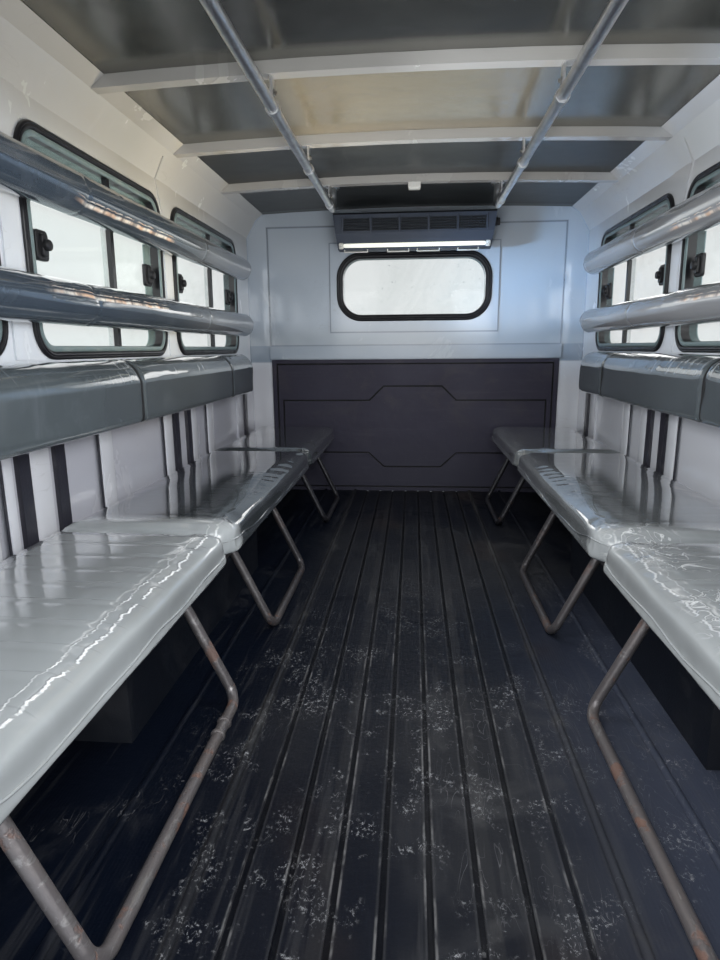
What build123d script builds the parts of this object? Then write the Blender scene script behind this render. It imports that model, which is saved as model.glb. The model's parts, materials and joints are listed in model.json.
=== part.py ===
from build123d import *
from math import atan2, cos, degrees, hypot, radians, sin, sqrt
import os

os.makedirs("parts", exist_ok=True)

# Passenger load body of a light truck: a load bed with a fixed canopy, bench seats along
# both sides, a drop tailgate and a lift-up rear hatch. Millimetres, +Z up, +Y towards the cab.
# The origin is on the ground under the middle of the whole, with the tailgate lowered and
# the hatch raised.

# Load space
inside_length = 2600.0  # bulkhead face to rear edge
inside_width = 1500.0  # between the bed's sides
sill_height = 620.0  # mat to the top of the bed's sides
shoulder_height = 1150.0  # where the canopy's sides bend in
shoulder_inset = 4.0  # from the bed's side
eave_rise = 100.0  # from the shoulder to where the canopy's sides meet the roof
eave_inset = 64.0
crown_rise = 16.0  # from the eave to the middle of the roof lining

# Wall thicknesses
bed_wall = 50.0
canopy_wall = 38.0
front_wall = 50.0
rear_frame_depth = 50.0
roof_thickness = 22.0
roof_overhang = 4.0  # past the canopy's sides
drip_rail_width = 12.0
drip_rail_height = 8.0
lining_thickness = 5.0
liner_thickness = 8.0

# Clearances
seat_gap = 0.3  # soft or curved piece to its seat
moving_gap = 6.0  # moving piece to a fixed one
pin_gap = 0.3  # pin to bore, on the radius

# Underframe and floor
rail_height = 80.0
rail_width = 45.0
rail_wall = 6.0
rail_spacing = 800.0
rail_bolt_radius = 7.0
rail_bolt_places = [535.0, 2150.0]  # behind the bulkhead
crossmember_height = 50.0
crossmember_width = 60.0
crossmember_arch_gap = 7.0  # beside the wheel arches
crossmember_places = [35.0, 370.0, 705.0, 1040.0, 1365.0, 1690.0, 2015.0, 2280.0, 2515.0]
floor_thickness = 18.0
mat_thickness = 7.0
groove_width = 8.0
groove_depth = 3.5
groove_places = [-210.0, -149.0, -90.0, -29.0, 29.0, 90.0, 149.0, 210.0]
inner_ridge_half = 270.0
outer_ridge_inset = 67.0  # from the wheel arch
ridge_radius = 7.0

# Wheel arches
arch_centre = 1530.0  # behind the bulkhead
arch_length = 900.0
arch_width = 273.0  # from the bed's side
arch_height = 200.0
arch_corner = 70.0
arch_sheet = 4.0
wheel_opening_radius = 430.0
wheel_centre_drop = 235.0  # mat down to the wheel's centre
skirt_drop = 95.0  # mat down to the lower edge of the bed's sides

# Bed sides, inside pressings: (start, end) behind the bulkhead
bed_bays = [(265.0, 560.0), (670.0, 845.0), (1065.0, 1315.0), (1450.0, 1620.0), (1820.0, 2070.0), (2200.0, 2400.0)]
bay_depth = 8.0
bay_bottom = 285.0
bay_top = 585.0

# Roof bows
bow_places = [514.0, 968.0, 1445.0, 1915.0, 2385.0]
bow_depth = 26.0
bow_width = 32.0
bow_end_gap = 0.8

# Sloping trim under the eaves, between the bows
eave_trim_drop = 28.0  # down the canopy's side from the eave
eave_trim_reach = 18.0  # in from the eave

# Side windows: (start, end, meeting rail) behind the bulkhead
windows = [(225.0, 920.0, 540.0), (1020.0, 1690.0, 1320.0), (1785.0, 2480.0, 2150.0)]
window_middle = 877.0
window_height = 445.0
window_corner = 60.0
seal_width = 22.0
seal_lip = 5.0
lip_thickness = 4.0
glass_thickness = 4.0
pane_spacing = 8.0
pane_overlap = 20.0
meeting_rail = 16.0
latch_height = 60.0
latch_width = 42.0
latch_depth = 12.0
latch_inset = 65.0
latch_knob_radius = 12.0

# Pressings on the pillars between the windows: width from the sill up, flaring under the roof
pillar_press_width = 50.0
pillar_press_height = 4.0  # proud of the wall
pillar_press_bottom = 650.0
# Flare: (half width, height above the mat)
pillar_flare = [(25.0, 1060.0), (58.0, 1150.0), (70.0, 1205.0)]

# Outer pressings of the bed sides: (start, end) behind the bulkhead
outer_fields = [(40.0, 1320.0), (1740.0, 2490.0)]
outer_field_bottom = 70.0
outer_field_top = 540.0
outer_field_corner = 30.0
outer_field_depth = 6.0
wheel_rim_width = 40.0

# Front wall
liner_inset = 97.0  # from the bed's side
liner_top = 616.0
liner_groove = 7.0
liner_groove_depth = 5.0
liner_groove_inset = 50.0  # liner's edge to the raised field's groove
liner_border_inset = 24.0  # liner's edge to the groove round the border
# Raised field's grooves: (from the middle, height above the mat)
upper_groove = [(200.0, 429.0), (134.0, 494.0)]
lower_groove = [(426.0, 184.0), (205.0, 184.0), (133.0, 117.0)]
groove_foot = 20.0
recess_inset = 93.0  # from the bed's side
recess_bottom = 680.0
recess_top = 1195.0
recess_depth = 14.0
ledge_depth = 12.0
ledge_gap = 4.0  # over the liner's top edge
window_panel_half = 377.0
window_panel_bottom = 738.0
window_panel_top = 1125.0
window_panel_depth = 8.0
front_window_half = 339.0
front_window_bottom = 792.0
front_window_top = 1078.0
front_window_corner = 105.0

# Air unit
unit_half = 335.0
unit_depth = 200.0
# Front and underside: (back from the foremost point, height above the mat), from the top
unit_face = [(35.0, 1215.0), (4.0, 1203.0), (0.0, 1128.0), (12.0, 1100.0), (24.0, 1068.0)]
unit_underside = [(78.0, 1068.0), (92.0, 1092.0)]
unit_round = 6.0
unit_taper = 20.0  # ends draw in from the top to the foot
bay_count = 5
bay_pitch = 118.0
bay_width = 110.0
bay_height = 50.0
bay_level = 1163.0
bay_recess = 20.0
grille_inset = 5.0
blade_count = 4
blade_thickness = 2.5

# Lamp on the foremost bow
lamp_width = 44.0
lamp_length = 30.0
lamp_height = 22.0
lamp_round = 6.0

# Grab rails under the roof
grab_half = 305.0
grab_drop = 75.0  # below the eave
grab_radius = 12.5
grab_front = 400.0
grab_rear = 2525.0
grab_bend = 45.0
hanger_thickness = 6.0
hanger_width = 18.0
collar_wall = 3.0
flange_radius = 24.0
flange_thickness = 5.0

# Padded rails: (name, height above the mat, radius)
padded_rails = [("upper_rail", 983.0, 45.0), ("middle_rail", 763.0, 46.0)]
pad_front = 285.0
pad_rear = 2525.0
pad_end_round = 30.0

# Backrest and the uprights behind it
post_places = [165.0, 885.0, 994.0, 1661.0, 1787.0, 2440.0]
post_width = 35.0
post_thickness = 10.0
backrest_bottom = 490.0
backrest_top = 646.0
backrest_depth = 96.0  # from the bed's side
backrest_end_round = 80.0  # in plan
backrest_foot_round = 18.0
backrest_roll = 50.0  # height of the rounded top
backrest_roll_rise = 42.0  # from the roll's foot to its middle
backrest_roll_inset = 28.0
backrest_top_inset = 10.0
backrest_back_height = 116.0

# Benches: (start, end) behind the bulkhead, and (start, end) of the legs under them
bench_places = [(4.0, 723.7), (724.3, 1723.7), (1724.3, 2538.0)]
leg_places = [(200.0, 594.0), (1106.0, 1526.0), (1845.0, 2385.0)]
seat_wall_gap = 15.0
seat_depth = 379.0
seat_top = 310.0
cushion_thickness = 63.0
cushion_round = 14.0
cushion_corner = 50.0  # in plan, towards the aisle
board_inset = 30.0
board_thickness = 12.0
board_gap = 4.0
leg_radius = 10.0
leg_bend = 32.0
leg_foot_reach = 26.0  # from the seat's edge to the floor bar
leg_head_inset = 84.0

# Rear frame
lower_post_width = 50.0
upper_post_width = 90.0
header_drop = 55.0  # the rear opening's top below the eave

# Tail lamps on the rear posts
tail_lamp_margin = 12.0
tail_lamp_bottom = 250.0
tail_lamp_top = 440.0
tail_lamp_proud = 16.0
tail_lamp_round = 6.0

# Tailgate, hinged at the rear edge of the floor; 0 is closed, 90 lies flat
gate_angle = 90.0
gate_height = 600.0
gate_thickness = 45.0
gate_hinge_drop = 55.0
gate_hinge_back = 14.0
gate_hinges = [-480.0, 0.0, 480.0]
gate_bay_count = 3
gate_bay_gap = 40.0
gate_bay_side = 54.0
gate_bay_margin = 60.0
gate_bay_depth = 7.0
knuckle_radius = 8.0
hinge_pin_radius = 5.0
knuckle_length = 36.0
lug_length = 24.0
lug_gap = 2.0
strap_length = 190.0
strap_thickness = 8.0
strap_step = 10.0  # along the gate, from the hinge's level to its outer face

# Hatch, hinged at the rear edge of the roof; 0 is closed
hatch_angle = 85.0
hatch_hinge_back = 20.0
hatch_hinge_rise = 8.0  # above the middle of the roof lining
hatch_thickness = 28.0
hatch_start = 32.0
hatch_top_lap = 29.0  # past the eaves
hatch_bottom_inset = 5.0  # from the bed's side
hatch_border = 93.0
hatch_glass_start = 95.0
hatch_glass_end = 600.0
hatch_glass_corner = 45.0
hatch_hinges = [-450.0, 450.0]
weld_bite = 2.0

# Gas struts, hung between the jambs and the hatch
strut_jamb_gap = 15.0
strut_ear_thickness = 5.0
strut_neck = 16.0  # tube's eye to the start of its bore
strut_foot_drop = 450.0  # hatch hinge down to the pin on the jamb
strut_foot_forward = 45.0
strut_head_along = 120.0
strut_head_out = 25.0
strut_tube_radius = 9.0
strut_rod_radius = 4.0
strut_tube_length = 210.0
strut_rod_length = 250.0
strut_eye_radius = 8.0
strut_eye_thickness = 10.0
strut_pin_radius = 3.0

# Values worked out from the above
half_in = inside_width / 2
half_out = half_in + bed_wall
shoulder_half = half_in - shoulder_inset
eave_half = half_in - eave_inset
arch_inner = half_in - arch_width
liner_half = half_in - liner_inset
recess_half = half_in - recess_inset
seat_outer = half_in - seat_wall_gap
seat_inner = seat_outer - seat_depth
leg_foot = seat_inner - leg_foot_reach
leg_head = seat_inner + leg_head_inset
lower_opening_half = half_in - lower_post_width
upper_opening_half = half_in - upper_post_width
hatch_top_half = eave_half + hatch_top_lap
hatch_bottom_half = half_in - hatch_bottom_inset
hatch_glass_half = hatch_top_half - hatch_border
strut_half = upper_opening_half - strut_jamb_gap
eave_height = shoulder_height + eave_rise
crown_height = eave_height + crown_rise
grab_height = eave_height - grab_drop
header_height = eave_height - header_drop
hatch_hinge_height = crown_height + hatch_hinge_rise
hatch_end = hatch_hinge_height - gate_height - moving_gap
mat_z = rail_height + crossmember_height + floor_thickness + mat_thickness
gate_reach = inside_length + gate_hinge_back + gate_hinge_drop + gate_height
hatch_reach = (
    inside_length
    + hatch_hinge_back
    + hatch_end * sin(radians(hatch_angle))
    + hatch_thickness / 2 * cos(radians(hatch_angle))
)
rear_reach = max(gate_reach, hatch_reach)
bulkhead_y = (rear_reach - front_wall - lip_thickness) / 2
front_y = bulkhead_y + front_wall
rear_y = bulkhead_y - inside_length
frame_y = rear_y + rear_frame_depth
liner_face = bulkhead_y + liner_thickness
lean = degrees(atan2(half_in - shoulder_half, shoulder_height - sill_height))
canopy_offset = canopy_wall / cos(radians(lean))
pillar_places = [(first[1] + second[0]) / 2 for first, second in zip(windows, windows[1:])]
lining_radius = (eave_half**2 + (crown_height - eave_height) ** 2) / (2 * (crown_height - eave_height))


def aft(distance):
    """y of a place this far behind the bulkhead's face."""
    return bulkhead_y - distance


def up(height):
    """z of a place this far above the mat."""
    return mat_z + height


def wall_x(height):
    """Half the inside width at a height above the mat."""
    if height <= sill_height:
        return half_in
    if height <= shoulder_height:
        share = (height - sill_height) / (shoulder_height - sill_height)
        return half_in + (shoulder_half - half_in) * share
    share = (height - shoulder_height) / (eave_height - shoulder_height)
    return shoulder_half + (eave_half - shoulder_half) * share


def roof_z(x, offset=0.0):
    """z of the roof lining's underside at x, or of a line this far above it."""
    radius = lining_radius + offset
    return up(crown_height - lining_radius) + sqrt(radius**2 - x**2)


def block(x_range, y_range, z_range, mode=Mode.ADD):
    """A box between two places on each axis, added to the part in hand."""
    sizes = [abs(ends[1] - ends[0]) for ends in (x_range, y_range, z_range)]
    middle = [(ends[0] + ends[1]) / 2 for ends in (x_range, y_range, z_range)]
    with Locations(tuple(middle)):
        Box(*sizes, mode=mode)


def write(builder, name):
    """Label a finished piece and write it."""
    builder.part.label = name
    export_step(builder.part, f"parts/{name}.step")


def side_plane(side, y, height, offset=0.0):
    """Plane on the canopy's inner face, x forward, y up the wall, z outwards."""
    tilt = radians(lean)
    normal = (side * cos(tilt), 0, sin(tilt))
    place = Vector(side * wall_x(height), y, up(height)) + Vector(*normal) * offset
    return Plane(origin=place, x_dir=(0, side, 0), z_dir=normal)


# Underframe: two channel rails, open towards each other, under nine cross-members
with BuildPart() as frame_rails:
    for side in (-1, 1):
        web = side * (rail_spacing + rail_width) / 2
        flange = side * (rail_spacing - rail_width) / 2
        lip = web - side * rail_wall
        block((web, lip), (front_y, rear_y), (0, rail_height))
        block((web, flange), (front_y, rear_y), (0, rail_wall))
        block((web, flange), (front_y, rear_y), (rail_height - rail_wall, rail_height))
        with Locations(*[(side * rail_spacing / 2, aft(place), rail_wall) for place in rail_bolt_places]):
            Hole(rail_bolt_radius, depth=rail_wall)
write(frame_rails, "frame_rails")

with BuildPart() as crossmembers:
    for place in crossmember_places:
        beside_arch = abs(place - arch_centre) < arch_length / 2
        half = arch_inner - crossmember_arch_gap if beside_arch else half_in
        across = (aft(place - crossmember_width / 2), aft(place + crossmember_width / 2))
        block((-half, half), across, (rail_height, rail_height + crossmember_height))
write(crossmembers, "crossmembers")

# Floor, cut out for the wheel arches
arch_front = arch_centre - arch_length / 2
arch_rear = arch_centre + arch_length / 2
floor_base = rail_height + crossmember_height
floor_top = floor_base + floor_thickness
with BuildPart() as floor_pan:
    block((-half_in, half_in), (liner_face, frame_y), (floor_base, floor_top))
    for side in (-1, 1):
        across = (side * arch_inner, side * half_in)
        block(across, (aft(arch_front), aft(arch_rear)), (floor_base, floor_top), Mode.SUBTRACT)
write(floor_pan, "floor_pan")

# Ribbed rubber mat
outer_ridge_half = arch_inner - outer_ridge_inset
ridge_places = [-outer_ridge_half, -inner_ridge_half, inner_ridge_half, outer_ridge_half]
with BuildPart() as floor_mat:
    block((-half_in, half_in), (bulkhead_y, frame_y), (floor_top, mat_z))
    for place in groove_places:
        across = (place - groove_width / 2, place + groove_width / 2)
        block(across, (bulkhead_y, frame_y), (mat_z - groove_depth, mat_z + groove_depth), Mode.SUBTRACT)
    with BuildSketch(Plane.XZ.offset(-bulkhead_y)):
        with Locations(*[(place, floor_top + ridge_radius) for place in ridge_places]):
            Circle(ridge_radius)
    extrude(amount=inside_length - rear_frame_depth)
    for side in (-1, 1):
        across = (side * arch_inner, side * half_in)
        block(across, (aft(arch_front), aft(arch_rear)), (floor_top, mat_z), Mode.SUBTRACT)
write(floor_mat, "floor_mat")

# Wheel arches: folded sheet boxes over the openings in the floor
arch_outline = [
    (arch_front, 0.0),
    (arch_front, arch_height - arch_corner),
    (arch_front + arch_corner, arch_height),
    (arch_rear - arch_corner, arch_height),
    (arch_rear, arch_height - arch_corner),
    (arch_rear, 0.0),
]
arch_base = floor_base - mat_z
with BuildPart() as wheel_arches:
    for side in (-1, 1):
        with BuildSketch(Plane.YZ.offset(side * half_in)) as outside:
            with BuildLine():
                Polyline(*[(aft(d), up(h if h else arch_base)) for d, h in arch_outline], close=True)
            make_face()
        extrude(outside.sketch, amount=-side * (half_in - arch_inner))
    for side in (-1, 1):
        with BuildSketch(Plane.YZ.offset(side * half_in)) as hollow:
            with BuildLine():
                Polyline(*[(aft(d), up(h if h else arch_base)) for d, h in arch_outline], close=True)
            make_face()
            offset(amount=-arch_sheet, mode=Mode.REPLACE)
            with Locations((aft(arch_centre), up(arch_base))):
                Rectangle(arch_length - 2 * arch_sheet, 4 * arch_sheet)
        extrude(hollow.sketch, amount=-side * (half_in - arch_inner - arch_sheet), mode=Mode.SUBTRACT)
write(wheel_arches, "wheel_arches")

# Bed sides, as thick as the double skin, with pressed bays inside and a wheel opening
with BuildPart() as side_panel_right:
    block((half_in, half_out), (front_y, frame_y), (up(-skirt_drop), up(sill_height)))
    with BuildSketch(Plane.YZ.offset(half_in)):
        with Locations((aft(arch_centre), up(-wheel_centre_drop))):
            Circle(wheel_opening_radius)
    extrude(amount=bed_wall, mode=Mode.SUBTRACT)
    for start, end in bed_bays:
        across = (half_in, half_in + bay_depth)
        block(across, (aft(start), aft(end)), (up(bay_bottom), up(bay_top)), Mode.SUBTRACT)
    for start, end in outer_fields:
        with BuildSketch(Plane.YZ.offset(half_out - outer_field_depth)):
            with Locations((aft((start + end) / 2), up((outer_field_bottom + outer_field_top) / 2))):
                RectangleRounded(end - start, outer_field_top - outer_field_bottom, outer_field_corner)
            with Locations((aft(arch_centre), up(-wheel_centre_drop))):
                Circle(wheel_opening_radius + wheel_rim_width, mode=Mode.SUBTRACT)
        extrude(amount=outer_field_depth, mode=Mode.SUBTRACT)
write(side_panel_right, "side_panel_right")

with BuildPart() as side_panel_left:
    mirror(side_panel_right.part, about=Plane.YZ)
write(side_panel_left, "side_panel_left")

# Pillar pressing: a strip that follows the wall's bend, cut to its flaring outline
press_heights = [pillar_press_bottom, shoulder_height, pillar_flare[-1][1]]
press_back = [(wall_x(height) + weld_bite, up(height)) for height in press_heights]
press_face = [(wall_x(height) - pillar_press_height, up(height)) for height in reversed(press_heights)]
press_outline = [(pillar_press_width / 2, pillar_press_bottom)] + pillar_flare
with BuildPart() as pillar_press:
    with BuildSketch(Plane.XZ):
        with BuildLine():
            Polyline(*press_back, *press_face, close=True)
        make_face()
    extrude(amount=pillar_flare[-1][0], both=True)
    with BuildSketch(Plane.YZ):
        with BuildLine():
            right_edge = [(half, up(height)) for half, height in press_outline]
            left_edge = [(-half, up(height)) for half, height in reversed(press_outline)]
            Polyline(*right_edge, *left_edge, close=True)
        make_face()
    extrude(amount=half_out, mode=Mode.INTERSECT)

# Sloping trim: section of one piece, and its ends on both sides of each bow
trim_foot = eave_height - eave_trim_drop
trim_section = [
    (wall_x(trim_foot) + weld_bite, up(trim_foot)),
    (eave_half - eave_trim_reach, roof_z(eave_half, -seat_gap)),
    (eave_half + weld_bite, roof_z(eave_half, -seat_gap)),
]
trim_ends = [seat_gap]
for place in bow_places:
    trim_ends.append(place - bow_width / 2 - bow_end_gap)
    trim_ends.append(place + bow_width / 2 + bow_end_gap)
trim_ends.append(inside_length - rear_frame_depth - seat_gap)

# Canopy sides, bending in under the eaves, with three windows each
with BuildPart() as canopy_side_right:
    with BuildSketch(Plane.XZ.offset(-front_y)):
        with BuildLine():
            Polyline(
                (half_in, up(sill_height)),
                (shoulder_half, up(shoulder_height)),
                (eave_half, up(eave_height)),
                (eave_half + canopy_offset, up(eave_height)),
                (shoulder_half + canopy_offset, up(shoulder_height)),
                (half_in + canopy_offset, up(sill_height)),
                close=True,
            )
        make_face()
    extrude(amount=front_y - frame_y)
    for start, end, rail in windows:
        with BuildSketch(side_plane(1, aft((start + end) / 2), window_middle)):
            RectangleRounded(end - start, window_height, window_corner)
        extrude(amount=2 * canopy_wall, both=True, mode=Mode.SUBTRACT)
    with Locations(*[(0, aft(place), 0) for place in pillar_places]):
        add(pillar_press.part)
    for start, end in zip(trim_ends[::2], trim_ends[1::2]):
        with BuildSketch(Plane.XZ.offset(-aft(start))):
            with BuildLine():
                Polyline(*trim_section, close=True)
            make_face()
        extrude(amount=end - start)
write(canopy_side_right, "canopy_side_right")

with BuildPart() as canopy_side_left:
    mirror(canopy_side_right.part, about=Plane.YZ)
write(canopy_side_left, "canopy_side_left")

# Black frames of the side windows, with a lip on each face and a meeting rail
pane_middle = canopy_wall / 2
inner_pane = pane_middle - pane_spacing / 2
outer_pane = pane_middle + pane_spacing / 2
with BuildPart() as window_frames:
    for start, end, rail in windows:
        width = end - start
        middle = aft((start + end) / 2)
        with BuildSketch(side_plane(1, middle, window_middle, -lip_thickness)) as body:
            RectangleRounded(width - 2 * seat_gap, window_height - 2 * seat_gap, window_corner - seat_gap)
        extrude(amount=canopy_wall + 2 * lip_thickness)
        for level in (-lip_thickness, canopy_wall):
            with BuildSketch(side_plane(1, middle, window_middle, level)) as lips:
                RectangleRounded(width + 2 * seal_lip, window_height + 2 * seal_lip, window_corner + seal_lip)
            extrude(amount=lip_thickness)
        with BuildSketch(side_plane(1, middle, window_middle, -2 * lip_thickness)) as light:
            RectangleRounded(width - 2 * seal_width, window_height - 2 * seal_width, window_corner - seal_width)
        extrude(amount=canopy_wall + 4 * lip_thickness, mode=Mode.SUBTRACT)
        with BuildSketch(side_plane(1, middle, window_middle, 2 * seat_gap)) as rails:
            with Locations((aft(rail) - middle, 0)):
                Rectangle(meeting_rail, window_height - 2 * seal_width + 2 * lip_thickness)
        extrude(amount=inner_pane - glass_thickness / 2 - 3 * seat_gap)
    mirror(about=Plane.YZ)
write(window_frames, "window_frames")

# Sliding panes: the forward one runs in the outer track, the rearward one in the inner track
with BuildPart() as window_glass:
    for start, end, rail in windows:
        middle = aft((start + end) / 2)
        light_width = end - start - 2 * seal_width - 2 * seat_gap
        light_height = window_height - 2 * seal_width - 2 * seat_gap
        panes = [
            (outer_pane, start, rail + pane_overlap / 2),
            (inner_pane, rail - pane_overlap / 2, end),
        ]
        for level, pane_start, pane_end in panes:
            with BuildSketch(side_plane(1, middle, window_middle, level - glass_thickness / 2)):
                RectangleRounded(light_width, light_height, window_corner - seal_width - seat_gap)
                with Locations((aft((pane_start + pane_end) / 2) - middle, 0)):
                    Rectangle(pane_end - pane_start, window_height, mode=Mode.INTERSECT)
            extrude(amount=glass_thickness)
    mirror(about=Plane.YZ)
write(window_glass, "window_glass")

# Latches at both ends of each side window
with BuildPart() as window_latches:
    for side in (-1, 1):
        for start, end, rail in windows:
            for place, level in ((start + latch_inset, outer_pane), (end - latch_inset, inner_pane)):
                face = level - glass_thickness / 2 - latch_depth
                with BuildSketch(side_plane(side, aft(place), window_middle, face - latch_depth)) as knob:
                    Circle(latch_knob_radius)
                extrude(knob.sketch, amount=2 * latch_depth)
                with BuildSketch(side_plane(side, aft(place), window_middle, face)) as plate:
                    RectangleRounded(latch_width, latch_height, latch_depth / 2)
                extrude(plate.sketch, amount=latch_depth)
write(window_latches, "window_latches")

# Lower front wall and the black liner on its inner face
with BuildPart() as front_panel:
    block((-half_in, half_in), (liner_face, front_y), (rail_height, up(sill_height)))
write(front_panel, "front_panel")

groove_side = liner_half - liner_groove_inset
outer_groove = [(groove_side, 2 * groove_foot), (groove_side, upper_groove[0][1])] + upper_groove
with BuildPart() as bulkhead_liner:
    block((-liner_half, liner_half), (bulkhead_y, liner_face), (mat_z, up(liner_top)))
    for points in (outer_groove, lower_groove):
        right_to_left = points + [(-x, height) for x, height in reversed(points)]
        with BuildSketch(Plane.XZ.offset(-bulkhead_y)) as grooves:
            with BuildLine():
                Polyline(*[(x, up(height)) for x, height in right_to_left])
            trace(line_width=liner_groove)
        extrude(grooves.sketch, amount=-liner_groove_depth, mode=Mode.SUBTRACT)
    border = (liner_half - liner_border_inset, liner_top - groove_foot)
    with BuildSketch(Plane.XZ.offset(-bulkhead_y)) as border_groove:
        for reach in (liner_groove / 2, -liner_groove / 2):
            with Locations((0, up((border[1] + groove_foot) / 2))):
                width = 2 * (border[0] + reach)
                height = border[1] - groove_foot + 2 * reach
                Rectangle(width, height, mode=Mode.ADD if reach > 0 else Mode.SUBTRACT)
    extrude(border_groove.sketch, amount=-liner_groove_depth, mode=Mode.SUBTRACT)
write(bulkhead_liner, "bulkhead_liner")

# Front wall of the canopy: recessed field, raised window panel, ledge at its foot
shell_under = lining_thickness + seat_gap
roof_edge_z = roof_z(eave_half, shell_under)
with BuildPart() as canopy_front:
    with BuildSketch(Plane.XZ.offset(-front_y)):
        with BuildLine():
            Polyline(
                (-eave_half, roof_edge_z - seat_gap),
                (-eave_half, up(eave_height)),
                (-shoulder_half, up(shoulder_height)),
                (-half_in, up(sill_height)),
                (half_in, up(sill_height)),
                (shoulder_half, up(shoulder_height)),
                (eave_half, up(eave_height)),
                (eave_half, roof_edge_z - seat_gap),
            )
            ThreePointArc(
                (eave_half, roof_edge_z - seat_gap),
                (0, roof_z(0, shell_under) - seat_gap),
                (-eave_half, roof_edge_z - seat_gap),
            )
        make_face()
    extrude(amount=front_wall)
    field = (bulkhead_y, bulkhead_y + recess_depth)
    block((-recess_half, recess_half), field, (up(recess_bottom), up(recess_top)), Mode.SUBTRACT)
    panel_face = bulkhead_y + recess_depth - window_panel_depth
    panel_depth = (panel_face, bulkhead_y + recess_depth)
    panel_rise = (up(window_panel_bottom), up(window_panel_top))
    block((-window_panel_half, window_panel_half), panel_depth, panel_rise)
    ledge_rise = (up(liner_top + ledge_gap), up(recess_bottom))
    block((-recess_half, recess_half), (bulkhead_y - ledge_depth, bulkhead_y), ledge_rise)
    window_rise = front_window_top - front_window_bottom
    window_level = (front_window_top + front_window_bottom) / 2
    with BuildSketch(Plane.XZ.offset(-front_y)):
        with Locations((0, up(window_level))):
            RectangleRounded(2 * front_window_half, window_rise, front_window_corner)
    extrude(amount=front_wall + ledge_depth, mode=Mode.SUBTRACT)
write(canopy_front, "canopy_front")

front_seal_depth = front_y - panel_face + 2 * lip_thickness
with BuildPart() as front_window_seal:
    with BuildSketch(Plane.XZ.offset(-front_y - lip_thickness)):
        with Locations((0, up(window_level))):
            RectangleRounded(
                2 * (front_window_half - seat_gap), window_rise - 2 * seat_gap, front_window_corner - seat_gap
            )
    extrude(amount=front_seal_depth)
    for face in (front_y + lip_thickness, panel_face):
        with BuildSketch(Plane.XZ.offset(-face)):
            with Locations((0, up(window_level))):
                RectangleRounded(
                    2 * (front_window_half + seal_lip), window_rise + 2 * seal_lip, front_window_corner + seal_lip
                )
        extrude(amount=lip_thickness)
    with BuildSketch(Plane.XZ.offset(-front_y - 2 * lip_thickness)):
        with Locations((0, up(window_level))):
            RectangleRounded(
                2 * (front_window_half - seal_width), window_rise - 2 * seal_width, front_window_corner - seal_width
            )
    extrude(amount=front_seal_depth + 2 * lip_thickness, mode=Mode.SUBTRACT)
write(front_window_seal, "front_window_seal")

with BuildPart() as front_window_glass:
    with BuildSketch(Plane.XZ.offset(-bulkhead_y - front_wall / 2)):
        with Locations((0, up(window_level))):
            RectangleRounded(
                2 * (front_window_half - seal_width - seat_gap),
                window_rise - 2 * seal_width - 2 * seat_gap,
                front_window_corner - seal_width - seat_gap,
            )
    extrude(amount=glass_thickness)
write(front_window_glass, "front_window_glass")

# Roof: outer shell with the hatch hinge's lugs, lining and bows
shell_out = eave_half + canopy_offset + roof_overhang
shell_top = shell_under + roof_thickness
hatch_hinge_y = rear_y - hatch_hinge_back
hatch_hinge_z = up(hatch_hinge_height)
with BuildPart() as roof_shell:
    with BuildSketch(Plane.XZ.offset(-front_y)):
        with BuildLine():
            Polyline(
                (-eave_half, roof_edge_z),
                (-eave_half, up(eave_height)),
                (-shell_out, up(eave_height)),
                (-shell_out, roof_z(shell_out, shell_top)),
            )
            ThreePointArc(
                (-shell_out, roof_z(shell_out, shell_top)),
                (0, roof_z(0, shell_top)),
                (shell_out, roof_z(shell_out, shell_top)),
            )
            Polyline(
                (shell_out, roof_z(shell_out, shell_top)),
                (shell_out, up(eave_height)),
                (eave_half, up(eave_height)),
                (eave_half, roof_edge_z),
            )
            ThreePointArc((eave_half, roof_edge_z), (0, roof_z(0, shell_under)), (-eave_half, roof_edge_z))
        make_face()
    extrude(amount=front_y - rear_y)
    for side in (-1, 1):
        across = (side * shell_out, side * (shell_out + drip_rail_width))
        rise = (up(eave_height), up(eave_height) + drip_rail_height)
        block(across, (front_y, rear_y), rise)
    lug_middle = knuckle_length / 2 + lug_gap + lug_length / 2
    for place in hatch_hinges:
        for shift in (-lug_middle, lug_middle):
            across = (place + shift - lug_length / 2, place + shift + lug_length / 2)
            rise = (hatch_hinge_z - knuckle_radius, hatch_hinge_z + knuckle_radius)
            block(across, (rear_y, hatch_hinge_y), rise)
            with BuildSketch(Plane.YZ.offset(across[0])) as barrel:
                with Locations((hatch_hinge_y, hatch_hinge_z)):
                    Circle(knuckle_radius)
            extrude(barrel.sketch, amount=lug_length)
        with BuildSketch(Plane.YZ.offset(place - lug_middle)) as pin:
            with Locations((hatch_hinge_y, hatch_hinge_z)):
                Circle(hinge_pin_radius)
        extrude(pin.sketch, amount=2 * lug_middle)
write(roof_shell, "roof_shell")

with BuildPart() as roof_lining:
    lining_half = eave_half - 2 * seat_gap
    with BuildSketch(Plane.XZ.offset(-bulkhead_y + seat_gap)):
        with BuildLine():
            ThreePointArc((-lining_half, roof_z(lining_half)), (0, roof_z(0)), (lining_half, roof_z(lining_half)))
            Line((lining_half, roof_z(lining_half)), (lining_half, roof_z(lining_half, lining_thickness)))
            ThreePointArc(
                (lining_half, roof_z(lining_half, lining_thickness)),
                (0, roof_z(0, lining_thickness)),
                (-lining_half, roof_z(lining_half, lining_thickness)),
            )
            Line((-lining_half, roof_z(lining_half, lining_thickness)), (-lining_half, roof_z(lining_half)))
        make_face()
    extrude(amount=bulkhead_y - frame_y - 2 * seat_gap)
write(roof_lining, "roof_lining")

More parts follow.
